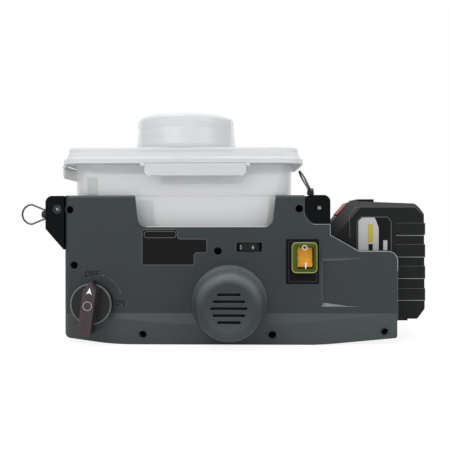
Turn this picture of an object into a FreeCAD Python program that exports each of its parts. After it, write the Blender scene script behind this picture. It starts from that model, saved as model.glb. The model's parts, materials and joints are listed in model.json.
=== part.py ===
"""Airless paint sprayer: a moulded housing with a tank on top, a pump inside and a battery at its end.

Millimetres. +X runs to the battery end, +Y to the back and +Z up. The origin lies in the middle of the
housing's depth, on the flat base, below the left half of the motor cover.
"""

import FreeCAD, Part

import math
import os

V = FreeCAD.Vector

# Gap between faces that move past or rest on each other
running_gap = 0.3

# How far a cutting solid passes the face that it cuts through
past = 1.0

# Heights that the fittings of the housing, the tank and the lid are measured from
housing_height = 142.0
tank_floor_height = 100.3
tank_rim_height = housing_height + 33.0

# Housing: a clamshell of two mouldings that meet at y = 0
housing_left = -160.0
housing_right = 158.2
housing_depth = 130.0
wall = 2.8
skirt_flare = 5.0
skirt_crease_height = 29.5
skirt_corner_radius = 24.0
housing_edge_radius = 2.5
housing_bow_radius = 2500.0
sole_left = -112.0
sole_right = 85.0
sole_rise = 6.4
sole_left_radius = 250.0
sole_right_radius = 300.0
shell_corner_radius = 7.0
main_body_right = 94.6
wing_height = 88.4
wing_shoulder = (121.9, 104.0)

# Screws that clamp the two mouldings together, as places on the front face
screw_places = (
    (-154.3, housing_height - 13.7),
    (-150.1, 75.1),
    (-83.6, 9.6),
    (39.2, 9.6),
    (-12.3, tank_floor_height - 11.6),
    (65.1, housing_height - 13.0),
    (145.4, 12.4),
)
screw_hole_radius = 3.7
screw_boss_radius = 4.7
screw_shank_radius = 1.5
screw_head_radius = 2.9
screw_head_height = 2.6
screw_seat_depth = 8.0
screw_grip = 14.0
screw_fit = 0.05

# Tank well and the window in the front and rear walls
tank_centre_x = -47.5
tank_half_width = 108.0
tank_half_depth = 52.0
tank_nest_inset = 6.5
tank_nest_slack = 2.0
tank_nest_draft = 1.5
tank_draft = 0.8
tank_corner_radius = 20.0
tank_wall = 2.2
tank_flange = 6.5
tank_flange_thickness = 2.6
well_right = 64.0
window_left = -91.8
window_right = 43.0
window_sill = tank_floor_height + 11.1
window_slant = 3.5
window_corner_radius = 9.0

# Battery bay behind the two wings
bay_left = 97.0
bay_half_depth = 41.5
bay_floor = 17.6

# Scoop recess beside the battery
scoop_left = 85.6
scoop_right = 124.5
scoop_bottom = 36.0
scoop_top = 82.0
scoop_depth = 4.5

# Motor, its cover and the drive
motor_axis = (-1.2, 39.2)
motor_radius = 23.0
motor_rear = 6.0
motor_edge_radius = 2.0
motor_nose_depth = 12.0
shaft_end_gap = 2.0
cradle_front = -40.0
cradle_rear = -34.0
cradle_margin = (7.0, 9.0)
cradle_foot_width = 40.0
cover_base_radius = 36.5
cover_front_radius = 31.0
cover_projection = 43.0
cover_base_height = 4.0
cover_base_chamfer = 0.8
cover_neck_step = (1.8, 1.6)
cover_shoulder_radius = 9.0
cover_dish = 2.0
cover_wall = 2.5
slot_lengths = (21.2, 29.1, 33.2, 29.1, 21.2)
slot_height = 2.8
slot_pitch = 6.2
motor_shaft_radius = 2.5
pinion_radius = 4.8
gear_radius = 21.5
gear_width = 8.0
gear_side_gap = 1.5
crank_radius = 4.0
crank_throw = 3.5
eccentric_radius = 8.0
eccentric_width = 10.0
eccentric_side_gap = 3.0
shaft_clearance = 0.05
case_wall = 3.0
case_depth = 36.0
case_margin = 6.0
case_corner_radius = 8.0

# Pump
plunger_radius = 5.0
plunger_length = 40.0
tappet_clearance = 0.5
pump_left = -146.0
pump_right = -64.0
pump_height = 34.0
pump_depth = 28.0
pump_corner_radius = 3.0
pump_bore_reserve = 2.0
inlet_x = -80.0
inlet_radius = 7.0
inlet_wall = 1.6
strainer_radius = 16.0
strainer_height = 9.0
strainer_wall = 1.5
strainer_slit_width = 3.0
strainer_slits = 4
outlet_x = -112.0
outlet_thread_radius = 6.6
outlet_thread_length = 14.0
outlet_bore_radius = 3.0
outlet_nut_radius = 11.0
outlet_nut_width = 6.0

# Prime and spray valve with its knob
knob_axis = (-131.7, 39.0)
knob_radius = 19.3
knob_thickness = 8.0
knob_gap = 1.5
knob_edge_radius = 1.6
pointer_length = 51.0
pointer_width = 11.6
pointer_height = 14.5
pointer_lean = 8.0
pointer_tip_ahead = 23.5
pointer_point = 9.0
pointer_root = 3.0
stem_radius = 3.0
stem_reach = 24.0
stem_end_gap = 2.0
valve_radius = 11.0
valve_block_left = 14.0
valve_block_right = 10.0
valve_block_depth = 18.0
valve_block_bottom = 12.0
valve_block_top = 14.0
return_tube_radius = 4.0
return_tube_wall = 1.0
return_tube_place = (-139.0, -34.0)
return_tube_top = tank_rim_height - 25.0
return_drop_depth = 10.0
tube_hole_gap = 0.3

# Speed dial
dial_x = 17.6
dial_height = tank_floor_height - 8.0
dial_radius = 15.0
dial_thickness = 7.6
dial_proud = 1.4
dial_window_width = 24.0
dial_window_height = 8.7
dial_shaft_radius = 3.0
dial_shaft_depth = 5.0
dial_notches = 24
dial_notch_radius = 0.9
dial_notch_offset = 0.5
dial_notch_height = 2.2
dial_underside_gap = 0.6
potentiometer_side = 18.0
potentiometer_height = 8.5

# Control board on its shelf
board_thickness = 1.6
board_width = 44.0
board_rear = -41.0
board_edge_gap = 0.5
shelf_thickness = 3.0
coil_size = (8.0, 8.0, 7.0)
capacitor_radius = 4.0
capacitor_height = 8.0
board_part_inset = 6.0

# Rocker switch
switch_centre = (68.1, tank_floor_height - 21.7)
switch_recess = (30.9, 40.7)
switch_recess_depth = 1.2
bezel_size = (28.0, 39.4)
bezel_thickness = 2.4
switch_body_size = (22.0, 33.0)
switch_body_depth = 24.0
switch_hole_gap = 0.2
switch_pocket_depth = 9.0
switch_blade = (6.0, 8.0, 0.8)
switch_blade_heights = (-10.0, 0.0, 10.0)
boot_size = (24.0, 28.9)
boot_height = 6.0
boot_wall = 0.9
boot_corner_radius = 4.0
boot_edge_radius = 1.5
boot_top_margin = 1.2
boot_shift = 1.2
rocker_size = (15.6, 20.0)
rocker_side_gap = 0.5
rocker_end_gap = 1.2
rocker_front_reach = 2.6
rocker_dish = 1.2
rocker_dish_radius = 30.0
rocker_depth = 6.0
rocker_pivot_depth = 3.0
rocker_pin_length = 19.2
rocker_tilt = 7.0
rocker_pin_radius = 1.2

# Strap brackets, swivels and rings
bracket_depth = 24.0
left_bracket_left = -177.5
left_bracket_bottom = housing_height - 52.0
left_bracket_chamfer_top = housing_height - 32.0
right_bracket_left = 70.0
right_bracket_bottom = housing_height - 27.8
bracket_corner_radius = 6.5
bracket_screw_radius = 2.4
bracket_screw_recess_radius = 4.0
bracket_screw_recess_depth = 3.0
bracket_screw_head_gap = (1.2, 0.6)
bracket_screw_cross = (3.2, 0.7, 1.0)
bracket_screw_end_gap = 4.0
left_bracket_drop = 0.4
right_bracket_chamfer = (7.0, 10.0)
right_bracket_foot_radius = 11.0
left_bracket_screw = (-166.2, housing_height - 13.2)
right_bracket_screw = (84.2, housing_height - 12.3)
swivel_radius = 3.0
swivel_length = 6.5
swivel_stud_radius = 1.6
swivel_stud_depth = 5.0
swivel_edge_radius = 0.6
swivel_eye_rise = 0.6
left_swivel_height = housing_height - 18.0
right_swivel_x = 77.0
ring_wire_radius = 0.9
ring_length = 22.0
ring_width = 19.0
ring_lean = 29.0
ring_pin_radius = 0.9
ring_side_gap = 0.4
ring_knuckle_extra = 0.25

# Lid
lid_lower_half_width = 118.5
lid_lower_half_depth = 62.5
lid_upper_half_width = 113.5
lid_upper_half_depth = 57.5
lid_lower_bottom = tank_rim_height - 2.0
lid_shoulder_foot = tank_rim_height + 2.2
lid_shoulder_bend = tank_rim_height + 4.6
lid_shoulder_bend_inset = 3.0
lid_step_height = tank_rim_height + 9.1
lid_top = tank_rim_height + 13.7
lid_wall = 2.2
lid_panel_drop = 2.0
lid_panel_margin = 7.0
lid_panel_side_margin = 2.5
lid_corner_radius = 24.0
lid_step_radius = 19.0
lid_panel_radius = 16.0
lid_edge_radius = 1.8
lid_lip_gap = 1.0
lid_lip_depth = 6.0
lid_lip_wall = 1.8
gasket_thickness = 2.0
gasket_margin = 3.5
gasket_width = 3.2
latch_thickness = 2.0
latch_gap = 0.4
latch_drop = 12.5
latch_stand_off = 0.8
latch_hinge_radius = 1.5
latch_pin_radius = 0.8
latch_pin_length = 8.0
latch_grip_radius = 1.2
latch_grip_inset = 6.0
latch_ear_half_width = 1.8
latch_ear_gap = 0.4
front_latch_x = -34.0
front_latch_width = 97.0
side_latch_width = 70.0
latch_corner_radius = 5.0

# Filler neck and its screw cap
neck_radius = 46.6
neck_wall = 2.4
cap_radius = 50.3
cap_flange_radius = 52.7
cap_flange_height = 4.0
cap_bottom = lid_top + 0.7
cap_top = cap_bottom + 34.4
cap_wall = 2.4
cap_edge_radius = 4.0
cap_flare = 1.0
cap_flare_height = 9.5
cap_waist_drop = 14.0
cap_waist_depth = 0.5
cap_shoulder_drop = 8.0
cap_running_gap = 0.5
liner_thickness = 1.6

# Battery pack on its rails
battery_right = 191.0
battery_bottom = 20.3
battery_top = 137.2
battery_half_depth = 38.5
battery_gap = 0.6
battery_foot = (165.0, 179.0, 4.0)
battery_foot_width = 40.0
battery_tab = (127.0, 144.0, 2.2)
battery_tab_width = 48.0
battery_top_corner = (8.7, 2.5)
battery_right_corner = (0.7, 12.9)
battery_bottom_corner = (7.5, 10.5)
grip_left = 162.0
grip_heights = ((103.8, 115.3), (81.4, 94.2), (60.3, 72.8), (38.8, 50.8))
grip_proud = 1.0
button_slope_low = (97.8, 110.1)
button_slope_high = (121.4, 137.2)
slope_flank_start = 14.0
slope_flank_reach = 12.0
battery_top_bevel = (6.0, 6.3)
battery_flank_overrun = 1.3
battery_flank_wedge = 3.0
battery_side_radius = 3.0
battery_ridge_radius = 2.0
button_rise = 25.5
button_length = 16.0
button_width = 26.0
button_thickness = 5.0
button_travel = 3.0
button_proud = 1.2
button_side_gap = 0.4
button_pocket_height = 4.0
cell_radius = 9.2
cell_length = 65.0
cell_rows = 5
cell_columns = 2
cell_setback = 26.0
cell_rise = 10.0
cell_room_gap = 0.5
rail_half_spacing = 24.0
rail_stem = (4.0, 3.0)
rail_head = (8.0, 3.0)
rail_bottom = 24.0
rail_top = 100.0
rail_clearance = 0.4
rail_entry = 10.0
rail_plate_width = 60.0
rail_plate_thickness = 0.2
terminal_size = (5.0, 22.0, 34.0)
terminal_slit_width = 1.2
terminal_slit_rise = 4.0
terminal_slits = (-7.0, 0.0, 7.0)
terminal_room = 1.0
terminal_bottom = 40.0

# Faces that other pieces line up with
front_face = -housing_depth / 2
rear_face = housing_depth / 2
well_floor = tank_floor_height - running_gap
gear_x = motor_axis[0] - pinion_radius - gear_radius - running_gap
gear_front = motor_rear + case_wall + gear_side_gap
eccentric_front = gear_front + gear_width + eccentric_side_gap
case_rear = motor_rear + case_depth
plunger_y = eccentric_front + eccentric_width / 2
plunger_right = gear_x - eccentric_radius - crank_throw - tappet_clearance
plunger_stroke = 2 * crank_throw
pump_front = plunger_y - pump_depth / 2
pump_rear = plunger_y + pump_depth / 2
cover_front = front_face - cover_projection
skirt_reach = rear_face + skirt_flare
liner_top = cap_top - cap_wall - running_gap
neck_top = liner_top - liner_thickness - running_gap
dial_axis_y = front_face - dial_proud + dial_radius
dial_bottom = dial_height - dial_thickness / 2
potentiometer_top = dial_bottom - dial_underside_gap
board_level = potentiometer_top - potentiometer_height - board_thickness
switch_seat = front_face + switch_recess_depth
rocker_x = switch_centre[0] + boot_shift
rocker_z = switch_centre[1] + (bezel_size[1] - boot_size[1]) / 2 - boot_top_margin
swivel_y = front_face + bracket_depth / 2
ring_pivot_height = running_gap + swivel_length / 2 + swivel_eye_rise
latch_axis_height = lid_lower_bottom - latch_gap - latch_hinge_radius
latch_length = latch_axis_height - lid_lower_bottom + latch_drop
cells_left = bay_left + cell_setback
cells_bottom = battery_bottom + cell_rise


def rounded_wire(corners):
    """A closed wire in the XY plane through (x, y, radius) corners, each rounded by a tangent arc."""
    edges = []
    count = len(corners)
    starts = []
    ends = []
    middles = []
    for index in range(count):
        x, y, radius = corners[index]
        here = V(x, y, 0)
        before = V(corners[index - 1][0], corners[index - 1][1], 0) - here
        after = V(corners[(index + 1) % count][0], corners[(index + 1) % count][1], 0) - here
        before.normalize()
        after.normalize()
        half = before.getAngle(after) / 2
        if radius <= 0 or abs(half - math.pi / 2) < 1e-6:
            starts.append(here)
            ends.append(here)
            middles.append(None)
            continue
        reach = radius / math.tan(half)
        bisector = before + after
        bisector.normalize()
        starts.append(here + before * reach)
        ends.append(here + after * reach)
        middles.append(here + bisector * (radius / math.sin(half) - radius))
    for index in range(count):
        if middles[index] is not None:
            edges.append(Part.Arc(starts[index], middles[index], ends[index]).toShape())
        following = starts[(index + 1) % count]
        if (following - ends[index]).Length > 1e-6:
            edges.append(Part.LineSegment(ends[index], following).toShape())
    return Part.Wire(edges)


def profile_face(corners, inset=0.0):
    """A face bounded by the rounded wire, drawn in by inset all round."""
    face = Part.Face(rounded_wire(corners))
    return face.makeOffset2D(-inset) if inset else face


def prism(face, height):
    """The face extruded upwards."""
    return face.extrude(V(0, 0, height))


def stand_up(shape, y_back):
    """Turns a solid drawn in XY so that its y runs up and its extrusion runs forward from y_back."""
    shape.rotate(V(0, 0, 0), V(1, 0, 0), 90)
    shape.translate(V(0, y_back, 0))
    return shape


def front_prism(corners, y_front, y_back, inset=0.0):
    """A solid with the given outline in the front view."""
    return stand_up(prism(profile_face(corners, inset), y_back - y_front), y_back)


def side_prism(corners, x_left, x_right, inset=0.0):
    """A solid with the given outline in the side view, its corners given as (y, z, radius)."""
    shape = prism(profile_face(corners, inset), x_right - x_left)
    shape.Placement = FreeCAD.Placement(V(x_left, 0, 0), FreeCAD.Rotation(V(1, 1, 1), 120))
    return shape


def plan_prism(corners, z_low, z_high, inset=0.0):
    """A solid with the given outline in the top view."""
    shape = prism(profile_face(corners, inset), z_high - z_low)
    shape.translate(V(0, 0, z_low))
    return shape


def rectangle(centre_x, centre_y, half_x, half_y, radius=0.0):
    """The corners of a rounded rectangle."""
    return (
        (centre_x - half_x, centre_y - half_y, radius),
        (centre_x + half_x, centre_y - half_y, radius),
        (centre_x + half_x, centre_y + half_y, radius),
        (centre_x - half_x, centre_y + half_y, radius),
    )


def box(x0, x1, y0, y1, z0, z1):
    """A box between two corners."""
    return Part.makeBox(x1 - x0, y1 - y0, z1 - z0, V(x0, y0, z0))


def rod_y(x, z, radius, y0, y1):
    """A cylinder along Y."""
    return Part.makeCylinder(radius, y1 - y0, V(x, y0, z), V(0, 1, 0))


def rod_x(y, z, radius, x0, x1):
    """A cylinder along X."""
    return Part.makeCylinder(radius, x1 - x0, V(x0, y, z), V(1, 0, 0))


def rod_z(x, y, radius, z0, z1):
    """A cylinder along Z."""
    return Part.makeCylinder(radius, z1 - z0, V(x, y, z0), V(0, 0, 1))


def rim_wire(half, radius, z):
    """A rounded rectangle about the tank's axis at a height."""
    wire = rounded_wire(rectangle(tank_centre_x, 0, half[0], half[1], radius))
    wire.translate(V(0, 0, z))
    return wire


def tapered_box(half_low, half_high, radius, z_low, z_high):
    """A loft between two rounded rectangles about the tank's axis."""
    wires = [rim_wire(half_low, radius, z_low), rim_wire(half_high, radius, z_high)]
    return Part.makeLoft(wires, True, True)


def union(shapes):
    """One shape from several, with seams between them removed."""
    return shapes[0].fuse(shapes[1:]).removeSplitter() if len(shapes) > 1 else shapes[0]


def circles(shape):
    """The shape's round edges."""
    return [edge for edge in shape.Edges if edge.Curve.TypeId == "Part::GeomCircle"]


def save(name, shape):
    """Writes one sub-part."""
    shape.exportStep(os.path.join("parts", name + ".step"))
    print(name, "solids", len(shape.Solids), "valid", shape.isValid(), "volume", round(shape.Volume))


def housing_envelope(inset=0.0):
    """The outer form of both mouldings, from its outlines in front, side and top view."""
    front_outline = (
        (housing_left, housing_height, 3.0),
        (housing_left, sole_rise, 7.0),
        (sole_left, 0, sole_left_radius),
        (sole_right, 0, sole_right_radius),
        (housing_right, sole_rise, 3.0),
        (housing_right, wing_height, 7.0),
        (wing_shoulder[0], wing_height, 8.0),
        (main_body_right, wing_shoulder[1], 4.0),
        (main_body_right, housing_height, 2.0),
    )
    reach = skirt_reach
    side_outline = (
        (front_face, housing_height, housing_edge_radius),
        (front_face, skirt_crease_height, 3.0),
        (-reach, skirt_crease_height / 2, skirt_corner_radius),
        (-reach, 0, 3.0),
        (reach, 0, 3.0),
        (reach, skirt_crease_height / 2, skirt_corner_radius),
        (rear_face, skirt_crease_height, 3.0),
        (rear_face, housing_height, housing_edge_radius),
    )
    bow_x = (housing_left + housing_right) / 2
    plan_outline = (
        (housing_left, front_face, shell_corner_radius),
        (bow_x, -reach, housing_bow_radius),
        (housing_right, front_face, housing_edge_radius),
        (housing_right, rear_face, housing_edge_radius),
        (bow_x, reach, housing_bow_radius),
        (housing_left, rear_face, shell_corner_radius),
    )
    solid = front_prism(front_outline, -reach - past, reach + past, inset)
    solid = solid.common(side_prism(side_outline, housing_left - past, housing_right + past, inset))
    return solid.common(plan_prism(plan_outline, -past, housing_height + past, inset))


def tank_well(margin=0.0):
    """The space over the well's floor, grown by margin towards the inside of the housing."""
    return box(
        housing_left + wall,
        well_right + margin,
        front_face + wall,
        rear_face - wall,
        well_floor - margin,
        housing_height + past,
    )


def battery_bay(margin=0.0):
    """The space between the wings, grown by margin towards the inside of the housing."""
    return box(
        bay_left - margin,
        housing_right + past,
        -bay_half_depth - margin,
        bay_half_depth + margin,
        bay_floor - margin,
        housing_height + past,
    )


def scoop(margin=0.0):
    """The wedge-shaped finger recess beside the battery, deepest at its left."""
    corners = (
        (scoop_left - margin, front_face - past, 0),
        (scoop_right + margin, front_face - past, 0),
        (scoop_right + margin, front_face + margin, 0),
        (scoop_left - margin, front_face + scoop_depth + margin, 0),
    )
    return plan_prism(corners, scoop_bottom - margin, scoop_top + margin)


def tank_window():
    """The opening in the front and rear walls through which the tank shows."""
    corners = (
        (window_left, housing_height + past, 0),
        (window_left + window_slant, window_sill, window_corner_radius),
        (window_right - window_slant, window_sill, window_corner_radius),
        (window_right, housing_height + past, 0),
    )
    return front_prism(corners, front_face - past, rear_face + past)


def right_bracket_outline(corner_radius, margin=0.0):
    """Corners of the right strap bracket in the front view, or of the notch that takes it."""
    chamfer_width, chamfer_height = right_bracket_chamfer
    return (
        (right_bracket_left - margin, housing_height + margin, corner_radius),
        (right_bracket_left - margin, right_bracket_bottom + chamfer_height, right_bracket_foot_radius),
        (right_bracket_left + chamfer_width, right_bracket_bottom, right_bracket_foot_radius),
        (main_body_right + margin, right_bracket_bottom, 0),
        (main_body_right + margin, housing_height + margin, corner_radius),
    )


def hollow_housing():
    """Both mouldings as one hollow body, with the well, the bay, the recesses and the wall openings."""
    outer = housing_envelope().cut(tank_well()).cut(battery_bay())
    through_front = (front_face - past, front_face + switch_pocket_depth)
    through_floor = (well_floor - wall - past, well_floor + past)
    bracket_room = front_prism(
        right_bracket_outline(0.0, wall), front_face - past, front_face + bracket_depth + wall
    )
    cavity = housing_envelope(wall).cut(
        [tank_well(wall), battery_bay(wall), scoop(wall), bracket_room]
    )
    motor_opening = rod_y(
        *motor_axis, cover_front_radius - cover_wall, -skirt_reach - past, front_face + switch_pocket_depth
    )
    switch_hole = front_prism(
        rectangle(
            rocker_x, switch_centre[1],
            switch_body_size[0] / 2 + switch_hole_gap,
            switch_body_size[1] / 2 + switch_hole_gap,
            1.0,
        ),
        *through_front,
    )
    seat = front_prism(
        rectangle(*switch_centre, switch_recess[0] / 2, switch_recess[1] / 2, 2.0),
        front_face - past,
        switch_seat,
    )
    dial_window = front_prism(
        rectangle(dial_x, dial_height, dial_window_width / 2, dial_window_height / 2, 1.0),
        *through_front,
    )
    stem_hole = rod_y(*knob_axis, stem_radius + 2 * running_gap, *through_front)
    notch = front_prism(right_bracket_outline(0.0), front_face - past, front_face + bracket_depth)
    outlet_hole = rod_y(
        outlet_x, motor_axis[1], outlet_thread_radius + tube_hole_gap,
        rear_face - 2 * wall, skirt_reach + past,
    )
    inlet_hole = rod_z(inlet_x, plunger_y, inlet_radius + tube_hole_gap, *through_floor)
    return_hole = rod_z(*return_tube_place, return_tube_radius + tube_hole_gap, *through_floor)
    return outer.cut(
        [cavity, tank_window(), scoop(), motor_opening, switch_hole, seat, dial_window]
        + [stem_hole, notch, outlet_hole, inlet_hole, return_hole]
    )


def half_space(y_front, y_back):
    """Everything of the housing between two depths."""
    return box(housing_left - past, housing_right + past, y_front, y_back, -past, housing_height + past)


def front_shell(hollow):
    """The front moulding with its screw bosses, the motor cradle and the board shelf."""
    bosses = []
    bores = []
    for x, z in screw_places:
        bosses.append(rod_y(x, z, screw_boss_radius, -skirt_reach, 0))
        bores.append(rod_y(x, z, screw_hole_radius, -skirt_reach, -screw_seat_depth))
        bores.append(rod_y(x, z, screw_shank_radius + 4 * screw_fit, -skirt_reach, past))
    motor_x, motor_z = motor_axis
    cradle = front_prism(
        rectangle(motor_x, motor_z, motor_radius + cradle_margin[0], motor_radius + cradle_margin[1], 3.0),
        cradle_front,
        cradle_rear,
    )
    cradle_bore = rod_y(*motor_axis, motor_radius + running_gap, cradle_front - past, cradle_rear + past)
    foot = box(
        motor_x - cradle_foot_width / 2, motor_x + cradle_foot_width / 2, cradle_front, cradle_rear,
        wall / 2, motor_z - motor_radius,
    )
    shelf = box(
        dial_x - board_width / 2, dial_x + board_width / 2, front_face + wall / 2, board_rear,
        board_level - shelf_thickness, board_level,
    )
    added = union([cradle, foot, shelf] + bosses).common(housing_envelope(wall / 2))
    moulding = hollow.common(half_space(-skirt_reach - past, 0))
    return moulding.fuse(added).removeSplitter().cut([cradle_bore] + bores)


def rear_shell(hollow):
    """The rear moulding with the bosses that the screws bite into and two ribs behind the gear case."""
    bosses = []
    bores = []
    for x, z in screw_places:
        bosses.append(rod_y(x, z, screw_boss_radius, 0, skirt_reach))
        bores.append(rod_y(x, z, screw_shank_radius, -past, screw_grip + 2 * past))
    ribs = []
    for x in (gear_x - gear_radius + wall, motor_axis[0] + motor_radius / 2):
        ribs.append(
            box(
                x - wall / 2, x + wall / 2, case_rear, rear_face - wall / 2,
                motor_axis[1] - motor_radius, motor_axis[1] + motor_radius,
            )
        )
    added = union(bosses + ribs).common(housing_envelope(wall / 2))
    return hollow.common(half_space(0, skirt_reach + past)).fuse(added).removeSplitter().cut(bores)


def shell_screws():
    """The screws that hold the mouldings together."""
    screws = []
    for x, z in screw_places:
        head = rod_y(x, z, screw_head_radius, -screw_seat_depth - screw_head_height, -screw_seat_depth)
        shank = rod_y(x, z, screw_shank_radius - screw_fit, -screw_seat_depth, screw_grip)
        screws.append(head.fuse(shank))
    return Part.makeCompound(screws)


def motor_cover():
    """The slotted round cover over the front end of the motor."""
    inner_radius = cover_front_radius - cover_wall
    shoulder = cover_shoulder_radius
    base_front = front_face - cover_base_height
    step_width, step_height = cover_neck_step
    outer = [
        V(inner_radius, front_face, 0),
        V(cover_base_radius, front_face, 0),
        V(cover_base_radius - cover_base_chamfer, base_front, 0),
        V(cover_front_radius + step_width, base_front - step_height, 0),
        V(cover_front_radius, cover_front + shoulder, 0),
    ]
    rim = V(cover_front_radius - shoulder, cover_front, 0)
    bend = shoulder * math.sin(math.radians(45))
    bend_middle = V(cover_front_radius - shoulder + bend, cover_front + shoulder - bend, 0)
    dish_middle = V(rim.x / 2, cover_front + cover_dish * 0.75, 0)
    dish_bottom = V(0, cover_front + cover_dish, 0)
    inner_front = cover_front + cover_dish + cover_wall
    edges = [Part.LineSegment(outer[i], outer[i + 1]).toShape() for i in range(len(outer) - 1)]
    edges.append(Part.Arc(outer[-1], bend_middle, rim).toShape())
    edges.append(Part.Arc(rim, dish_middle, dish_bottom).toShape())
    back = [
        dish_bottom,
        V(0, inner_front, 0),
        V(inner_radius - shoulder + cover_wall, inner_front, 0),
        V(inner_radius, inner_front + shoulder - cover_wall, 0),
        V(inner_radius, front_face, 0),
    ]
    edges += [Part.LineSegment(back[i], back[i + 1]).toShape() for i in range(len(back) - 1)]
    cover = Part.Face(Part.Wire(edges)).revolve(V(0, 0, 0), V(0, 1, 0), 360)
    slots = []
    for row, length in enumerate(slot_lengths):
        z = (len(slot_lengths) // 2 - row) * slot_pitch
        corners = rectangle(0, z, length / 2, slot_height / 2, slot_height / 2 - 0.01)
        slots.append(front_prism(corners, cover_front - past, inner_front + past))
    cover = cover.cut(slots)
    cover.translate(V(motor_axis[0], 0, motor_axis[1]))
    return cover.cut(housing_envelope())


def motor():
    """The motor's can with its rolled ends and its rear bearing nose."""
    front = cover_front + cover_dish + cover_wall + cover_base_height
    can = rod_y(*motor_axis, motor_radius, front, motor_rear)
    can = can.makeFillet(motor_edge_radius, circles(can))
    nose = motor_rear - motor_nose_depth
    return can.cut(rod_y(*motor_axis, motor_shaft_radius + shaft_clearance, nose, motor_rear + past))


def motor_pinion():
    """The motor's shaft end with the pinion on it."""
    nose = motor_rear - motor_nose_depth + shaft_end_gap
    shaft = rod_y(*motor_axis, motor_shaft_radius, nose, case_rear - case_wall - shaft_end_gap)
    pinion = rod_y(*motor_axis, pinion_radius, gear_front, gear_front + gear_width)
    return shaft.fuse(pinion)


def gear_case():
    """The case that holds the gear and the crank behind the motor."""
    left = gear_x - gear_radius - case_margin
    right = motor_axis[0] + motor_radius
    outline = rectangle(
        (left + right) / 2, motor_axis[1], (right - left) / 2, gear_radius + case_margin,
        case_corner_radius,
    )
    case = front_prism(outline, motor_rear, case_rear)
    room = front_prism(outline, motor_rear + case_wall, case_rear - case_wall, case_wall)
    shaft_radius = motor_shaft_radius + 2 * running_gap
    openings = [
        rod_y(*motor_axis, shaft_radius, motor_rear - past, motor_rear + case_wall + past),
        rod_y(gear_x, motor_axis[1], crank_radius + shaft_clearance, motor_rear - past, case_rear + past),
        rod_x(plunger_y, motor_axis[1], plunger_radius + running_gap, left - past, gear_x),
    ]
    return case.cut(room).cut(openings)


def drive_gear():
    """The large gear that the pinion turns."""
    gear = rod_y(gear_x, motor_axis[1], gear_radius, gear_front, gear_front + gear_width)
    bore = rod_y(gear_x, motor_axis[1], crank_radius, gear_front - past, gear_front + gear_width + past)
    return gear.cut(bore)


def crank():
    """The gear's shaft with the eccentric that pushes the plunger."""
    shaft = rod_y(
        gear_x, motor_axis[1], crank_radius, motor_rear + running_gap, case_rear - running_gap
    )
    eccentric = rod_y(
        gear_x - crank_throw, motor_axis[1], eccentric_radius,
        eccentric_front, eccentric_front + eccentric_width,
    )
    return shaft.fuse(eccentric).removeSplitter()


def plunger():
    """The pump's plunger, whose right end the eccentric pushes."""
    return rod_x(plunger_y, motor_axis[1], plunger_radius, plunger_right - plunger_length, plunger_right)


def pump_block():
    """The block that holds the plunger's bore and the passages to the valve and the outlet."""
    z = motor_axis[1]
    block = front_prism(
        rectangle(
            (pump_left + pump_right) / 2, z, (pump_right - pump_left) / 2, pump_height / 2,
            pump_corner_radius,
        ),
        pump_front,
        pump_rear,
    )
    bore_end = plunger_right - plunger_length - plunger_stroke - pump_bore_reserve
    bore = rod_x(plunger_y, z, plunger_radius + shaft_clearance, bore_end, pump_right + past)
    inlet = rod_z(inlet_x, plunger_y, inlet_radius - inlet_wall, z, z + pump_height)
    outlet = rod_y(outlet_x, z, outlet_bore_radius, plunger_y, pump_rear + past)
    passage = rod_x(plunger_y, z, outlet_bore_radius, outlet_x, bore_end + past)
    return block.cut([bore, inlet, outlet, passage])


def inlet_tube():
    """The suction tube between the tank's outlet and the pump."""
    low = motor_axis[1] + pump_height / 2
    tube = rod_z(inlet_x, plunger_y, inlet_radius, low, tank_floor_height - shaft_clearance)
    bore = rod_z(inlet_x, plunger_y, inlet_radius - inlet_wall, low - past, tank_floor_height + past)
    return tube.cut(bore)


def inlet_strainer():
    """The slotted cage over the tank's outlet."""
    floor = tank_floor_height + tank_wall
    top = floor + strainer_height
    cage = rod_z(inlet_x, plunger_y, strainer_radius, floor, top)
    room = rod_z(inlet_x, plunger_y, strainer_radius - strainer_wall, floor - past, top - strainer_wall)
    slits = []
    for turn in range(strainer_slits):
        slit = box(
            inlet_x - strainer_radius - past, inlet_x + strainer_radius + past,
            plunger_y - strainer_slit_width / 2, plunger_y + strainer_slit_width / 2,
            floor + strainer_wall, top - strainer_wall - past,
        )
        slit.rotate(V(inlet_x, plunger_y, 0), V(0, 0, 1), turn * 180 / strainer_slits)
        slits.append(slit)
    return cage.cut([room] + slits)


def outlet_fitting():
    """The male connector for the paint hose at the back."""
    z = motor_axis[1]
    end = rear_face + outlet_nut_width + outlet_thread_length
    tube = rod_y(outlet_x, z, outlet_thread_radius, pump_rear, end)
    hexagon = [
        (
            outlet_x + outlet_nut_radius * math.cos(math.radians(60 * step)),
            z + outlet_nut_radius * math.sin(math.radians(60 * step)),
            0,
        )
        for step in range(6)
    ]
    nut = front_prism(hexagon, rear_face, rear_face + outlet_nut_width)
    whole = tube.fuse(nut).removeSplitter()
    return whole.cut(rod_y(outlet_x, z, outlet_bore_radius, pump_rear - past, end + past))


def valve_body():
    """The body of the prime and spray valve between the front wall and the pump."""
    x, z = knob_axis
    barrel = rod_y(x, z, valve_radius, front_face + wall, pump_front)
    top = z + valve_block_top
    block = box(
        x - valve_block_left, x + valve_block_right,
        return_tube_place[1] - valve_block_depth / 2, return_tube_place[1] + valve_block_depth / 2,
        z - valve_block_bottom, top,
    )
    body = barrel.fuse(block).removeSplitter()
    stem_end = front_face + stem_reach + stem_end_gap
    stem_bore = rod_y(x, z, stem_radius + shaft_clearance, front_face, stem_end)
    drop = rod_z(
        *return_tube_place, return_tube_radius - return_tube_wall, top - return_drop_depth, top + past
    )
    return body.cut([stem_bore, drop])


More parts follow.
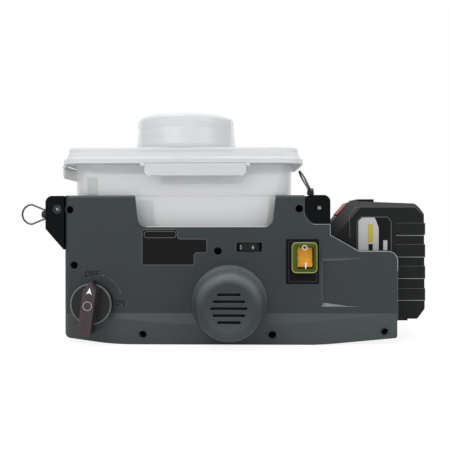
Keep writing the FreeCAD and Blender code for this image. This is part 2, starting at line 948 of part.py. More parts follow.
def return_tube():
    """The tube that carries paint back into the tank while the pump primes."""
    low = knob_axis[1] + valve_block_top
    inner_radius = return_tube_radius - return_tube_wall
    tube = rod_z(*return_tube_place, return_tube_radius, low, return_tube_top)
    return tube.cut(rod_z(*return_tube_place, inner_radius, low - past, return_tube_top + past))


def valve_stem():
    """The stem that the knob turns."""
    return rod_y(*knob_axis, stem_radius, front_face - knob_gap - knob_thickness, front_face + stem_reach)


def valve_knob():
    """The round knob with its raised pointer, drawn in the OFF position."""
    x, z = knob_axis
    back = front_face - knob_gap
    front = back - knob_thickness
    disc = rod_y(x, z, knob_radius, front, back)
    front_rim = [edge for edge in circles(disc) if edge.CenterOfMass.y < front + past]
    disc = disc.makeFillet(knob_edge_radius, front_rim)
    half = pointer_width / 2
    shoulder = pointer_tip_ahead - pointer_point
    tail = pointer_tip_ahead - pointer_length
    outline = (
        (0, pointer_tip_ahead, 1.0),
        (-half, shoulder, 2.0),
        (-half, tail, 2.0),
        (half, tail, 2.0),
        (half, shoulder, 2.0),
    )
    bar = front_prism(outline, front - pointer_height, back - pointer_root)
    bar.rotate(V(0, 0, 0), V(0, 1, 0), pointer_lean)
    bar.translate(V(x, 0, z))
    knob = disc.fuse(bar).removeSplitter()
    return knob.cut(rod_y(x, z, stem_radius, front, back + past))


def speed_dial():
    """The thumb wheel whose rim shows in the window."""
    wheel = rod_z(dial_x, dial_axis_y, dial_radius, dial_bottom, dial_bottom + dial_thickness)
    reach = dial_radius + dial_notch_offset
    bore_radius = dial_shaft_radius + shaft_clearance
    cuts = [rod_z(dial_x, dial_axis_y, bore_radius, dial_bottom - past, dial_bottom + dial_shaft_depth)]
    for step in range(dial_notches):
        angle = 2 * math.pi * (step + 0.5) / dial_notches
        x = dial_x + reach * math.cos(angle)
        y = dial_axis_y + reach * math.sin(angle)
        cuts.append(rod_z(x, y, dial_notch_radius, dial_bottom - past, dial_bottom + dial_notch_height))
    return wheel.cut(cuts)


def speed_potentiometer():
    """The control under the dial, with its shaft in the wheel's bore."""
    half = potentiometer_side / 2
    body = box(
        dial_x - half, dial_x + half, dial_axis_y - half, dial_axis_y + half,
        board_level + board_thickness, potentiometer_top,
    )
    return body.fuse(rod_z(dial_x, dial_axis_y, dial_shaft_radius, potentiometer_top - past, dial_height))


def control_board():
    """The circuit board on its shelf."""
    left = dial_x - board_width / 2
    right = dial_x + board_width / 2
    top = board_level + board_thickness
    parts_y = board_rear - board_part_inset
    coil_width, coil_depth, coil_height = coil_size
    board = box(left, right, front_face + wall + board_edge_gap, board_rear, board_level, top)
    coil_left = left + board_part_inset - coil_width / 2
    coil = box(
        coil_left, coil_left + coil_width, parts_y - coil_depth / 2, parts_y + coil_depth / 2,
        top, top + coil_height,
    )
    capacitor = rod_z(right - board_part_inset, parts_y, capacitor_radius, top, top + capacitor_height)
    return union([board, coil, capacitor])


def switch_body():
    """The rocker switch's frame and body, open at the front for the rocker."""
    x, z = switch_centre
    body_rear = switch_seat + switch_body_depth
    bezel = front_prism(
        rectangle(x, z, bezel_size[0] / 2, bezel_size[1] / 2, 1.5),
        switch_seat - bezel_thickness,
        switch_seat,
    )
    body = front_prism(
        rectangle(rocker_x, z, switch_body_size[0] / 2, switch_body_size[1] / 2, 1.0),
        switch_seat, body_rear,
    )
    pocket = front_prism(
        rectangle(
            rocker_x, rocker_z,
            rocker_size[0] / 2 + rocker_side_gap, rocker_size[1] / 2 + rocker_end_gap, 0.8,
        ),
        switch_seat - bezel_thickness - past,
        switch_seat + switch_pocket_depth,
    )
    pin_reach = rocker_pin_length / 2 + running_gap
    pin_hole = rod_x(
        switch_seat + rocker_pivot_depth, rocker_z, rocker_pin_radius + shaft_clearance,
        rocker_x - pin_reach, rocker_x + pin_reach,
    )
    blade_width, blade_length, blade_thickness = switch_blade
    blades = []
    for height in switch_blade_heights:
        low = z + height - blade_thickness / 2
        blades.append(
            box(
                rocker_x - blade_width / 2, rocker_x + blade_width / 2,
                body_rear, body_rear + blade_length,
                low, low + blade_thickness,
            )
        )
    return union([bezel, body] + blades).cut([pocket, pin_hole])


def rocker():
    """The lit rocker on its pin, dished between its ends and tilted to its off position."""
    x = rocker_x
    front = switch_seat - bezel_thickness - rocker_front_reach
    pivot_y = switch_seat + rocker_pivot_depth
    half = rocker_size[1] / 2
    block = side_prism(
        (
            (front, rocker_z - half, 0.8),
            (front + rocker_dish, rocker_z, rocker_dish_radius),
            (front, rocker_z + half, 0.8),
            (pivot_y, rocker_z + half, 2.0),
            (switch_seat + rocker_depth, rocker_z, 3.0),
            (pivot_y, rocker_z - half, 2.0),
        ),
        x - rocker_size[0] / 2,
        x + rocker_size[0] / 2,
    )
    pin = rod_x(
        pivot_y, rocker_z, rocker_pin_radius, x - rocker_pin_length / 2, x + rocker_pin_length / 2
    )
    whole = block.fuse(pin).removeSplitter()
    whole.rotate(V(x, pivot_y, rocker_z), V(1, 0, 0), -rocker_tilt)
    return whole


def switch_boot():
    """The clear flexible cover over the rocker."""
    x = rocker_x
    back = switch_seat - bezel_thickness
    front = back - boot_height
    outline = rectangle(x, rocker_z, boot_size[0] / 2, boot_size[1] / 2, boot_corner_radius)
    outer = front_prism(outline, front, back)
    rim = [edge for edge in outer.Edges if abs(edge.CenterOfMass.y - front) < 0.01]
    outer = outer.makeFillet(boot_edge_radius, rim)
    return outer.cut(front_prism(outline, front + boot_wall, back + past, boot_wall))


def strap_bracket(outline, screw):
    """A strap bracket from its outline in the front view, with the recess for its screw."""
    bracket = front_prism(outline, front_face, front_face + bracket_depth)
    x, z = screw
    recess_floor = front_face + bracket_screw_recess_depth
    recess = rod_y(x, z, bracket_screw_recess_radius, front_face - past, recess_floor)
    hole_end = front_face + bracket_depth - bracket_screw_end_gap
    hole = rod_y(x, z, bracket_screw_radius, front_face, hole_end)
    return bracket.cut([recess, hole])


def left_strap_bracket():
    """The bracket on the housing's left end."""
    outline = (
        (left_bracket_left, housing_height - left_bracket_drop, bracket_corner_radius),
        (left_bracket_left, left_bracket_chamfer_top, 3.0),
        (housing_left, left_bracket_bottom, 0),
        (housing_left, housing_height - left_bracket_drop, 0),
    )
    bracket = strap_bracket(outline, left_bracket_screw)
    stud_hole = rod_x(
        swivel_y, left_swivel_height, swivel_stud_radius + shaft_clearance,
        left_bracket_left - past, left_bracket_left + swivel_stud_depth + running_gap,
    )
    return bracket.cut(stud_hole)


def right_strap_bracket():
    """The bracket in the notch beside the tank."""
    bracket = strap_bracket(right_bracket_outline(bracket_corner_radius), right_bracket_screw)
    stud_hole = rod_z(
        right_swivel_x, swivel_y, swivel_stud_radius + shaft_clearance,
        housing_height - swivel_stud_depth - running_gap, housing_height + past,
    )
    return bracket.cut(stud_hole)


def bracket_screws():
    """One screw in each strap bracket."""
    side_gap, sunk = bracket_screw_head_gap
    cross_width, cross_slot, cross_depth = bracket_screw_cross
    head_front = front_face + sunk
    head_rear = front_face + bracket_screw_recess_depth
    shank_end = front_face + bracket_depth - bracket_screw_end_gap - past
    screws = []
    for x, z in (left_bracket_screw, right_bracket_screw):
        head = rod_y(x, z, bracket_screw_recess_radius - side_gap, head_front, head_rear)
        shank = rod_y(x, z, bracket_screw_radius - 8 * screw_fit, head_rear, shank_end)
        cross = []
        for half_x, half_z in ((cross_width / 2, cross_slot / 2), (cross_slot / 2, cross_width / 2)):
            cross.append(
                box(
                    x - half_x, x + half_x, head_front - past, head_front + cross_depth,
                    z - half_z, z + half_z,
                )
            )
        screws.append(head.fuse(shank).cut(cross))
    return Part.makeCompound(screws)


def swivel_eye():
    """A swivel drawn at the origin, its stud running into -Z and its cross hole along Y."""
    barrel = rod_z(0, 0, swivel_radius, running_gap, running_gap + swivel_length)
    barrel = barrel.makeFillet(swivel_edge_radius, circles(barrel))
    stud = rod_z(0, 0, swivel_stud_radius, -swivel_stud_depth, running_gap + past)
    reach = swivel_radius + past
    hole = rod_y(0, ring_pivot_height, ring_pin_radius + shaft_clearance, -reach, reach)
    return barrel.fuse(stud).removeSplitter().cut(hole)


def strap_ring():
    """A wire ring drawn upright from the swivel's pivot, its pin along Y."""
    half = ring_width / 2
    centre = ring_length - half
    radius = ring_wire_radius
    arc = Part.Arc(V(0, half, centre), V(0, 0, centre + half), V(0, -half, centre)).toShape()
    foot = swivel_radius + radius + ring_side_gap
    path = Part.Wire([
        Part.LineSegment(V(0, foot, 0), V(0, half, centre)).toShape(),
        arc,
        Part.LineSegment(V(0, -half, centre), V(0, -foot, 0)).toShape(),
    ])
    start = path.Edges[0].tangentAt(path.Edges[0].FirstParameter)
    circle = Part.Wire(Part.makeCircle(radius, V(0, foot, 0), start))
    loop = path.makePipeShell([circle], True, False, 2)
    pin = rod_y(0, 0, ring_pin_radius, -foot, foot)
    knuckles = [Part.makeSphere(radius + ring_knuckle_extra, V(0, side * foot, 0)) for side in (-1, 1)]
    return union([loop, pin] + knuckles)


def placed_left(shape):
    """Moves a piece drawn for an upright swivel to the left bracket, lying out to the left."""
    shape.rotate(V(0, 0, 0), V(0, 1, 0), -90)
    shape.rotate(V(0, 0, 0), V(1, 0, 0), 90)
    shape.translate(V(left_bracket_left, swivel_y, left_swivel_height))
    return shape


def placed_right(shape, lean=0.0):
    """Moves a piece drawn for an upright swivel to the right bracket."""
    if lean:
        shape.rotate(V(0, 0, 0), V(0, 1, 0), -lean)
        shape.translate(V(0, 0, ring_pivot_height))
    shape.translate(V(right_swivel_x, swivel_y, housing_height))
    return shape


def left_strap_ring():
    """The left ring, out to the left."""
    ring = strap_ring()
    ring.translate(V(0, 0, ring_pivot_height))
    return placed_left(ring)


def right_strap_ring():
    """The right ring, leaning against the tank."""
    return placed_right(strap_ring(), ring_lean)


def shrunk(half, margin):
    """Half sizes drawn in by a margin."""
    return half[0] - margin, half[1] - margin


def paint_tank():
    """The open tank: its nest in the well, its shoulder over the housing's edge and its flange."""
    shoulder = housing_height + running_gap
    top = (tank_half_width, tank_half_depth)
    top_foot = shrunk(top, tank_draft)
    nest = (tank_half_width - tank_nest_inset, tank_half_depth - tank_nest_slack)
    nest_foot = shrunk(nest, tank_nest_draft)
    lower = tapered_box(nest_foot, nest, tank_corner_radius, tank_floor_height, shoulder)
    upper = tapered_box(top_foot, top, tank_corner_radius, shoulder, tank_rim_height)
    inner_radius = tank_corner_radius - tank_wall
    inner_floor = tank_floor_height + tank_wall
    inner_shoulder = shoulder + tank_wall
    room_low = tapered_box(
        shrunk(nest_foot, tank_wall), shrunk(nest, tank_wall), inner_radius, inner_floor, inner_shoulder
    )
    room_high = tapered_box(
        shrunk(top_foot, tank_wall), shrunk(top, tank_wall), inner_radius, inner_shoulder, tank_rim_height
    )
    flange = plan_prism(
        rectangle(tank_centre_x, 0, *shrunk(top, -tank_flange), lid_corner_radius - past),
        tank_rim_height - tank_flange_thickness,
        tank_rim_height,
    )
    through_floor = (tank_floor_height - past, inner_floor + past)
    outlet = rod_z(inlet_x, plunger_y, inlet_radius - inlet_wall, *through_floor)
    back_hole = rod_z(*return_tube_place, return_tube_radius + shaft_clearance, *through_floor)
    return union([lower, upper, flange]).cut([room_low, room_high, outlet, back_hole])


def tank_lid():
    """The lid with its stepped rim, its dished panel and the filler neck."""
    seat = tank_rim_height + gasket_thickness
    panel_top = lid_top - lid_panel_drop
    panel_bottom = panel_top - lid_wall
    lower_half = (lid_lower_half_width, lid_lower_half_depth)
    upper_half = (lid_upper_half_width, lid_upper_half_depth)
    panel_half = (upper_half[0] - lid_panel_margin, upper_half[1] - lid_panel_side_margin)
    lip_half = shrunk((tank_half_width, tank_half_depth), tank_wall + lid_lip_gap)
    lip_outline = rectangle(tank_centre_x, 0, *lip_half, tank_corner_radius - tank_wall)
    bend_half = shrunk(lower_half, lid_shoulder_bend_inset)
    lower = plan_prism(
        rectangle(tank_centre_x, 0, *lower_half, lid_corner_radius), lid_lower_bottom, lid_shoulder_foot
    )
    foot_wire = rim_wire(lower_half, lid_corner_radius, lid_shoulder_foot)
    bend_wire = rim_wire(bend_half, lid_corner_radius - lid_shoulder_bend_inset, lid_shoulder_bend)
    step_wire = rim_wire(upper_half, lid_step_radius, lid_step_height)
    shoulder_low = Part.makeLoft([foot_wire, bend_wire], True, True)
    shoulder_high = Part.makeLoft([bend_wire, step_wire], True, True)
    upper = plan_prism(
        rectangle(tank_centre_x, 0, *upper_half, lid_step_radius), lid_step_height, lid_top
    )
    upper = upper.makeFillet(
        lid_edge_radius, [edge for edge in upper.Edges if abs(edge.CenterOfMass.z - lid_top) < 0.01]
    )
    room = plan_prism(
        rectangle(tank_centre_x, 0, *shrunk(lower_half, lid_wall), lid_corner_radius - lid_wall),
        lid_lower_bottom - past,
        seat,
    )
    hollow = plan_prism(lip_outline, seat - past, panel_bottom)
    panel = plan_prism(
        rectangle(tank_centre_x, 0, *panel_half, lid_panel_radius), panel_top, lid_top + past
    )
    lip = plan_prism(lip_outline, seat - lid_lip_depth, panel_bottom + past)
    lip = lip.cut(plan_prism(lip_outline, seat - lid_lip_depth - past, lid_top, lid_lip_wall))
    neck = rod_z(tank_centre_x, 0, neck_radius, panel_bottom, neck_top)
    mouth = rod_z(tank_centre_x, 0, neck_radius - neck_wall, panel_bottom - past, neck_top + past)
    rim = union([lower, shoulder_low, shoulder_high, upper])
    lid = rim.cut([room, hollow, panel]).fuse([lip, neck]).removeSplitter()
    return lid.cut(mouth).fuse(latch_pegs()).removeSplitter()


def latch_peg_pair(width):
    """Two ears with pins for a latch drawn along X about its axis at the origin, the lid behind them."""
    pegs = []
    half = latch_ear_half_width
    for end in (-1, 1):
        x = end * (width / 2 + half + latch_ear_gap)
        tip = x - end * latch_pin_length
        pegs.append(rod_x(0, 0, latch_hinge_radius, x - half, x + half))
        pegs.append(
            box(x - half, x + half, 0, latch_stand_off + lid_wall, 0, latch_hinge_radius + latch_gap + past)
        )
        pegs.append(rod_x(0, 0, latch_pin_radius, min(x, tip), max(x, tip)))
    return pegs


def at_front_rim(shape):
    """Moves a piece drawn about a latch's axis to the lid's front rim."""
    shape.translate(V(front_latch_x, -lid_lower_half_depth - latch_stand_off, latch_axis_height))
    return shape


def at_rear_rim(shape):
    """Moves a piece drawn about a latch's axis to the lid's rear rim."""
    shape.rotate(V(0, 0, 0), V(0, 0, 1), 180)
    shape.translate(V(front_latch_x, lid_lower_half_depth + latch_stand_off, latch_axis_height))
    return shape


def at_left_rim(shape):
    """Moves a piece drawn about a latch's axis to the lid's left rim."""
    shape.rotate(V(0, 0, 0), V(0, 0, 1), -90)
    shape.translate(V(tank_centre_x - lid_lower_half_width - latch_stand_off, 0, latch_axis_height))
    return shape


def latch_pegs():
    """Ears with pins on the lid's rim that carry the three latches."""
    pegs = [at_front_rim(peg) for peg in latch_peg_pair(front_latch_width)]
    pegs += [at_rear_rim(peg) for peg in latch_peg_pair(front_latch_width)]
    return pegs + [at_left_rim(peg) for peg in latch_peg_pair(side_latch_width)]


def lid_gasket():
    """The seal between the tank's flange and the lid."""
    half = shrunk((tank_half_width, tank_half_depth), -gasket_margin)
    top = tank_rim_height + gasket_thickness
    ring = rectangle(tank_centre_x, 0, *half, tank_corner_radius + gasket_margin)
    outer = plan_prism(ring, tank_rim_height + running_gap, top)
    return outer.cut(plan_prism(ring, tank_rim_height, top + past, gasket_width))


def latch(width):
    """A latch drawn along X about its hinge axis at the origin, with its flap hanging down outside."""
    roll = rod_x(0, 0, latch_hinge_radius, -width / 2, width / 2)
    flap_front = -latch_hinge_radius
    flap = front_prism(
        (
            (-width / 2, 0, 0),
            (-width / 2, -latch_length, latch_corner_radius),
            (width / 2, -latch_length, latch_corner_radius),
            (width / 2, 0, 0),
        ),
        flap_front, flap_front + latch_thickness,
    )
    grip_half = width / 2 - latch_grip_inset
    grip = rod_x(
        flap_front + latch_gap, -latch_length + latch_grip_radius, latch_grip_radius, -grip_half, grip_half
    )
    bore = rod_x(0, 0, latch_pin_radius + shaft_clearance, -width, width)
    return union([roll, flap, grip]).cut(bore)


def front_lid_latch():
    """The latch over the tank's front rim."""
    return at_front_rim(latch(front_latch_width))


def rear_lid_latch():
    """The latch over the tank's rear rim."""
    return at_rear_rim(latch(front_latch_width))


def left_lid_latch():
    """The latch over the tank's left rim."""
    return at_left_rim(latch(side_latch_width))


def revolve_about_neck(points):
    """A turned piece from (radius, height) points of its section."""
    corners = [V(radius, 0, height) for radius, height in points]
    face = Part.Face(Part.makePolygon(corners + [corners[0]]))
    shape = face.revolve(V(0, 0, 0), V(0, 0, 1), 360)
    shape.translate(V(tank_centre_x, 0, 0))
    return shape


def filler_cap():
    """The clear screw cap with its base flange and the waist under its top."""
    bend = cap_edge_radius * (1 - math.sin(math.radians(45)))
    inner = neck_radius + cap_running_gap
    flange_top = cap_bottom + cap_flange_height
    return revolve_about_neck([
        (inner, cap_bottom),
        (cap_flange_radius, cap_bottom),
        (cap_flange_radius, flange_top),
        (cap_radius + cap_flare, cap_bottom + cap_flare_height),
        (cap_radius - cap_waist_depth, cap_top - cap_waist_drop),
        (cap_radius, cap_top - cap_shoulder_drop),
        (cap_radius, cap_top - cap_edge_radius),
        (cap_radius - bend, cap_top - bend),
        (cap_radius - cap_edge_radius, cap_top),
        (0, cap_top),
        (0, cap_top - cap_wall),
        (inner, cap_top - cap_wall),
    ])


def cap_liner():
    """The sealing disc inside the cap."""
    return rod_z(tank_centre_x, 0, neck_radius, liner_top - liner_thickness, liner_top)


def battery_outline():
    """Corners of the battery pack in the front view."""
    left = bay_left + battery_gap
    return (
        (left, battery_bottom, 3.0),
        (left, button_slope_low[1], 2.0),
        (button_slope_high[0], battery_top, 2.0),
        (battery_right - battery_top_corner[0], battery_top - battery_top_corner[1], 4.0),
        (battery_right - battery_right_corner[0], battery_top - battery_right_corner[1], 2.0),
        (battery_right, battery_bottom + battery_bottom_corner[1], 3.0),
        (battery_right - battery_bottom_corner[0], battery_bottom, 2.0),
    )


def rail_profile(y, low, high, margin=0.0):
    """Stem and head of one rail in the top view, grown by margin, as a solid between two heights."""
    stem_width, stem_reach_out = rail_stem
    head_width, head_depth = rail_head
    head_start = bay_left + stem_reach_out
    stem_half = stem_width / 2 + margin
    head_half = head_width / 2 + margin
    stem = box(bay_left, head_start + margin, y - stem_half, y + stem_half, low, high)
    head = box(
        head_start - margin, head_start + head_depth + margin, y - head_half, y + head_half, low, high
    )
    return stem.fuse(head)


def battery_rails():
    """The two T-shaped rails on the bay's wall that carry the battery."""
    half = rail_plate_width / 2
    plate = box(bay_left, bay_left + rail_plate_thickness, -half, half, rail_bottom, rail_top)
    rails = [rail_profile(side * rail_half_spacing, rail_bottom, rail_top) for side in (-1, 1)]
    return union([plate] + rails)


def terminal_block():
    """The contact block between the rails."""
    depth, width, height = terminal_size
    back = bay_left + rail_plate_thickness
    top = terminal_bottom + height
    block = box(back, back + depth, -width / 2, width / 2, terminal_bottom, top)
    slits = []
    for y in terminal_slits:
        slits.append(
            box(
                back + depth / 3, back + depth + past,
                y - terminal_slit_width / 2, y + terminal_slit_width / 2,
                terminal_bottom + terminal_slit_rise, top + past,
            )
        )
    return block.cut(slits)


def battery_flanks():
    """What the slanted flanks beside the battery's release button leave out of its upper corner."""
    low = V(button_slope_low[0], 0, button_slope_low[1])
    along = V(button_slope_high[0], 0, button_slope_high[1]) - low
    foot = low - along
    flanks = []
    for side in (-1, 1):
        near = foot + V(0, side * slope_flank_start, 0)
        spread = V(slope_flank_reach, side * (battery_half_depth - slope_flank_start), 0)
        far = near + spread * battery_flank_overrun
        corner = V(near.x - slope_flank_reach, far.y, near.z)
        face = Part.Face(Part.makePolygon([near, far, corner, near]))
        flanks.append(face.extrude(along * battery_flank_wedge))
    return flanks


def battery_case():
    """The battery's case with its rail grooves, contact channel, grip pads, foot and button pocket."""
    half = battery_half_depth
    bevel_width, bevel_height = battery_top_bevel
    section = (
        (-half, battery_bottom, battery_side_radius),
        (-half, battery_top - bevel_height, battery_side_radius),
        (-half + bevel_width, battery_top, battery_ridge_radius),
        (half - bevel_width, battery_top, battery_ridge_radius),
        (half, battery_top - bevel_height, battery_side_radius),
        (half, battery_bottom, battery_side_radius),
    )
    body = front_prism(battery_outline(), -half, half)
    body = body.common(side_prism(section, bay_left, battery_right + past)).cut(battery_flanks())
    pads = []
    for low, high in grip_heights:
        pads.append(
            plan_prism(
                (
                    (grip_left, -battery_half_depth - grip_proud, 1.0),
                    (battery_right + grip_proud, -battery_half_depth - grip_proud, 3.0),
                    (battery_right + grip_proud, battery_half_depth + grip_proud, 3.0),
                    (grip_left, battery_half_depth + grip_proud, 1.0),
                ),
                low, high,
            )
        )
    foot_left, foot_right, foot_height = battery_foot
    foot_half = battery_foot_width / 2
    foot = box(
        foot_left, foot_right, -foot_half, foot_half, battery_bottom - foot_height, battery_bottom + past
    )
    tab_left, tab_right, tab_height = battery_tab
    tab_half = battery_tab_width / 2
    tab = box(tab_left, tab_right, -tab_half, tab_half, battery_top - tab_height, battery_top + tab_height)
    gap = cell_room_gap
    cells_room = box(
        cells_left - gap, cells_left + 2 * cell_columns * cell_radius + gap,
        -cell_length / 2 - gap, cell_length / 2 + gap,
        cells_bottom - gap, cells_bottom + 2 * cell_rows * cell_radius + gap,
    )
    grooves = []
    for side in (-1, 1):
        grooves.append(
            rail_profile(
                side * rail_half_spacing, rail_bottom - rail_entry, rail_top + 2 * past, rail_clearance
            )
        )
    depth, width, height = terminal_size
    channel_half = width / 2 + terminal_room
    channel = box(
        bay_left, bay_left + rail_plate_thickness + depth + terminal_room, -channel_half, channel_half,
        battery_bottom - past, terminal_bottom + height + 2 * terminal_room,
    )
    solid = union([body, foot, tab] + pads)
    return solid.cut([cells_room, button_pocket(), channel] + grooves)


def battery_cells():
    """The cells in their block."""
    cells = []
    for row in range(cell_rows):
        for column in range(cell_columns):
            x = cells_left + cell_radius * (2 * column + 1)
            z = cells_bottom + cell_radius * (2 * row + 1)
            cells.append(rod_y(x, z, cell_radius - shaft_clearance, -cell_length / 2, cell_length / 2))
    return Part.makeCompound(cells)


def button_block(length, width, above, below):
    """A block lying along the battery's slanted face, above and below that face."""
    run = (button_slope_high[0] - button_slope_low[0], button_slope_high[1] - button_slope_low[1])
    angle = math.degrees(math.atan2(run[1], run[0]))
    start = button_rise - length / 2
    block = box(start, start + length, -width / 2, width / 2, -below, above)
    block.rotate(V(0, 0, 0), V(0, 1, 0), -angle)
    block.translate(V(button_slope_low[0], 0, button_slope_low[1]))
    return block


def button_pocket():
    """The pocket that the release button sinks into."""
    growth = 2 * button_side_gap
    depth = button_thickness + button_travel + button_side_gap
    return button_block(button_length + growth, button_width + growth, button_pocket_height, depth)


def battery_button():
    """The release button on the slanted face."""
    return button_block(button_length, button_width, button_proud, button_thickness)


def main():
    """Builds every sub-part and writes it."""
    os.makedirs("parts", exist_ok=True)
    hollow = hollow_housing()
    save("front_shell", front_shell(hollow))
    save("rear_shell", rear_shell(hollow))
    save("shell_screws", shell_screws())
    save("motor_cover", motor_cover())
    save("motor", motor())
    save("motor_pinion", motor_pinion())
    save("gear_case", gear_case())
    save("drive_gear", drive_gear())
    save("crank", crank())
    save("plunger", plunger())
    save("pump_block", pump_block())
    save("inlet_tube", inlet_tube())
    save("inlet_strainer", inlet_strainer())
    save("outlet_fitting", outlet_fitting())
    save("valve_body", valve_body())
    save("return_tube", return_tube())
    save("valve_stem", valve_stem())
    save("valve_knob", valve_knob())
    save("speed_dial", speed_dial())
    save("speed_potentiometer", speed_potentiometer())
    save("control_board", control_board())
    save("switch_body", switch_body())
    save("rocker", rocker())
    save("switch_boot", switch_boot())
    save("left_strap_bracket", left_strap_bracket())
    save("right_strap_bracket", right_strap_bracket())
    save("bracket_screws", bracket_screws())
    save("left_swivel_eye", placed_left(swivel_eye()))
    save("right_swivel_eye", placed_right(swivel_eye()))
    save("left_strap_ring", left_strap_ring())
    save("right_strap_ring", right_strap_ring())
    save("paint_tank", paint_tank())
    save("tank_lid", tank_lid())
    save("lid_gasket", lid_gasket())
    save("front_lid_latch", front_lid_latch())
    save("rear_lid_latch", rear_lid_latch())
    save("left_lid_latch", left_lid_latch())
    save("filler_cap", filler_cap())
    save("cap_liner", cap_liner())
    save("battery_rails", battery_rails())
    save("terminal_block", terminal_block())
    save("battery_case", battery_case())
    save("battery_cells", battery_cells())
    save("battery_button", battery_button())


if __name__ == "__main__":
    main()
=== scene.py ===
"""Airless paint sprayer: the finishes, the markings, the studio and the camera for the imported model."""

import json
import logging
import math
from dataclasses import dataclass
from enum import Enum
from typing import Iterator, Optional, Sequence, Union

import bmesh
import bpy
from mathutils import Matrix, Vector


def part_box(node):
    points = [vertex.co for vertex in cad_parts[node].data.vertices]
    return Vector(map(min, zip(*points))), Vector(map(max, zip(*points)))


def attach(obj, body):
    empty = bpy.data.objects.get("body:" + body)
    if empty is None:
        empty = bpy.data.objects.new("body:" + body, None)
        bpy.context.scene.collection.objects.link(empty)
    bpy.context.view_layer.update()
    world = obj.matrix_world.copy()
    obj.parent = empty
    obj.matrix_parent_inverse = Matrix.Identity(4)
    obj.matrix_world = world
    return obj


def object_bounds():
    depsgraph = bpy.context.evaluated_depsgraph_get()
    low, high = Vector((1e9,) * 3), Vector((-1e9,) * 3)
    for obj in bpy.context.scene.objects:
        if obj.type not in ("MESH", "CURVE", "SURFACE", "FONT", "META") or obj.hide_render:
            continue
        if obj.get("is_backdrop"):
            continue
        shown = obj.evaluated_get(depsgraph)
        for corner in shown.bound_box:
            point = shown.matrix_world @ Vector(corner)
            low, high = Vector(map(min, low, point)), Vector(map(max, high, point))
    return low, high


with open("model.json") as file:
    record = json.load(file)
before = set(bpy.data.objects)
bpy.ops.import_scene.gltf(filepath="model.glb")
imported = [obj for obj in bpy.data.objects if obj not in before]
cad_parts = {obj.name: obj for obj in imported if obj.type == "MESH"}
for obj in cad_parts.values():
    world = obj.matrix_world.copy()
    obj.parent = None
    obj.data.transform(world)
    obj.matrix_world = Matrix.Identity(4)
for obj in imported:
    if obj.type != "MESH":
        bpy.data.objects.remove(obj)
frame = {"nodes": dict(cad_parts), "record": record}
CAD_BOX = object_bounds()

# Forms are drawn in millimetres, and materials and the studio are in metres.
MM = 0.001
# The thickness of printed ink, in millimetres.
PRINT = 0.06
# The least angle of an edge that stays crisp.
SHARP = math.radians(35.0)
# How close two corners are before they become one, in turned forms and in curves.
TURNED_GAP = 0.001
CURVE_GAP = 0.0001
# Directions of the frame.
UP = (0.0, 0.0, 1.0)
BACK = (0.0, 1.0, 0.0)
WHITE = (1.0, 1.0, 1.0, 1.0)
log = logging.getLogger("paint_sprayer")
Colour = tuple[float, float, float]
Point = tuple[float, float, float]
Pair = tuple[float, float]
Points = Sequence[Pair]
Sides = tuple[float, float, float, float]
Value = Union[float, "Signal"]


class Spread(Enum):
    """The shape of a lamp, as its height over its width."""

    SOFT = 1.0
    STRIP = 0.4


class Signal:
    """A socket of a shader tree that takes part in sums and products."""

    def __init__(self, tree: bpy.types.NodeTree, socket: bpy.types.NodeSocket) -> None:
        """Keeps the tree and the output that this signal stands for."""
        self.tree = tree
        self.socket = socket

    def _math(
        self, operation: str, first: Value, second: Value = 0.0, clamp: bool = False,
    ) -> "Signal":
        """Adds a Math node.

        Args:
            operation: the node's operation.
            first: its first value or signal.
            second: its second value or signal.
            clamp: whether the result stays between 0 and 1.

        Returns:
            The node's result.
        """
        node = self.tree.nodes.new("ShaderNodeMath")
        node.operation = operation
        node.use_clamp = clamp
        for index, value in enumerate((first, second)):
            if isinstance(value, Signal):
                self.tree.links.new(value.socket, node.inputs[index])
            else:
                node.inputs[index].default_value = value
        return Signal(self.tree, node.outputs[0])

    def __add__(self, other: Value) -> "Signal":
        """Sum."""
        return self._math("ADD", self, other)

    def __radd__(self, other: Value) -> "Signal":
        """Sum with a number on the left."""
        return self._math("ADD", other, self)

    def __sub__(self, other: Value) -> "Signal":
        """Difference."""
        return self._math("SUBTRACT", self, other)

    def __rsub__(self, other: Value) -> "Signal":
        """Difference from a number on the left."""
        return self._math("SUBTRACT", other, self)

    def __mul__(self, other: Value) -> "Signal":
        """Product."""
        return self._math("MULTIPLY", self, other)

    def __rmul__(self, other: Value) -> "Signal":
        """Product with a number on the left."""
        return self._math("MULTIPLY", other, self)

    def __abs__(self) -> "Signal":
        """Size without sign."""
        return self._math("ABSOLUTE", self)

    def larger(self, other: Value) -> "Signal":
        """The larger of two."""
        return self._math("MAXIMUM", self, other)

    def about(self, middle: float, width: float) -> "Signal":
        """This noise, brought to a width about a middle value."""
        return middle + (self - 0.5) * width

    def above(self, edge: float, softness: float) -> "Signal":
        """A step from 0 to 1 at an edge, over the width that the softness gives."""
        raised = (self - (edge - softness / 2)) * (1.0 / softness)
        return self._math("ADD", raised, 0.0, clamp=True)


class Nodes:
    """A node tree that takes every new node through one method."""

    def __init__(self, tree: bpy.types.NodeTree) -> None:
        """Keeps the tree to build in."""
        self.tree = tree

    def add(
        self,
        kind: str,
        settings: Optional[dict[str, object]] = None,
        inputs: Optional[dict[Union[str, int], object]] = None,
        out: Union[str, int] = 0,
    ) -> Signal:
        """Adds any node.

        Args:
            kind: the node's type, without the leading ShaderNode.
            settings: its properties, set before its sockets.
            inputs: values or signals for its sockets.
            out: the output that is wanted.

        Returns:
            That output.
        """
        node = self.tree.nodes.new("ShaderNode" + kind)
        for key, value in (settings or {}).items():
            setattr(node, key, value)
        for key, value in (inputs or {}).items():
            if isinstance(value, Signal):
                self.tree.links.new(value.socket, node.inputs[key])
            else:
                node.inputs[key].default_value = value
        return Signal(self.tree, node.outputs[out])


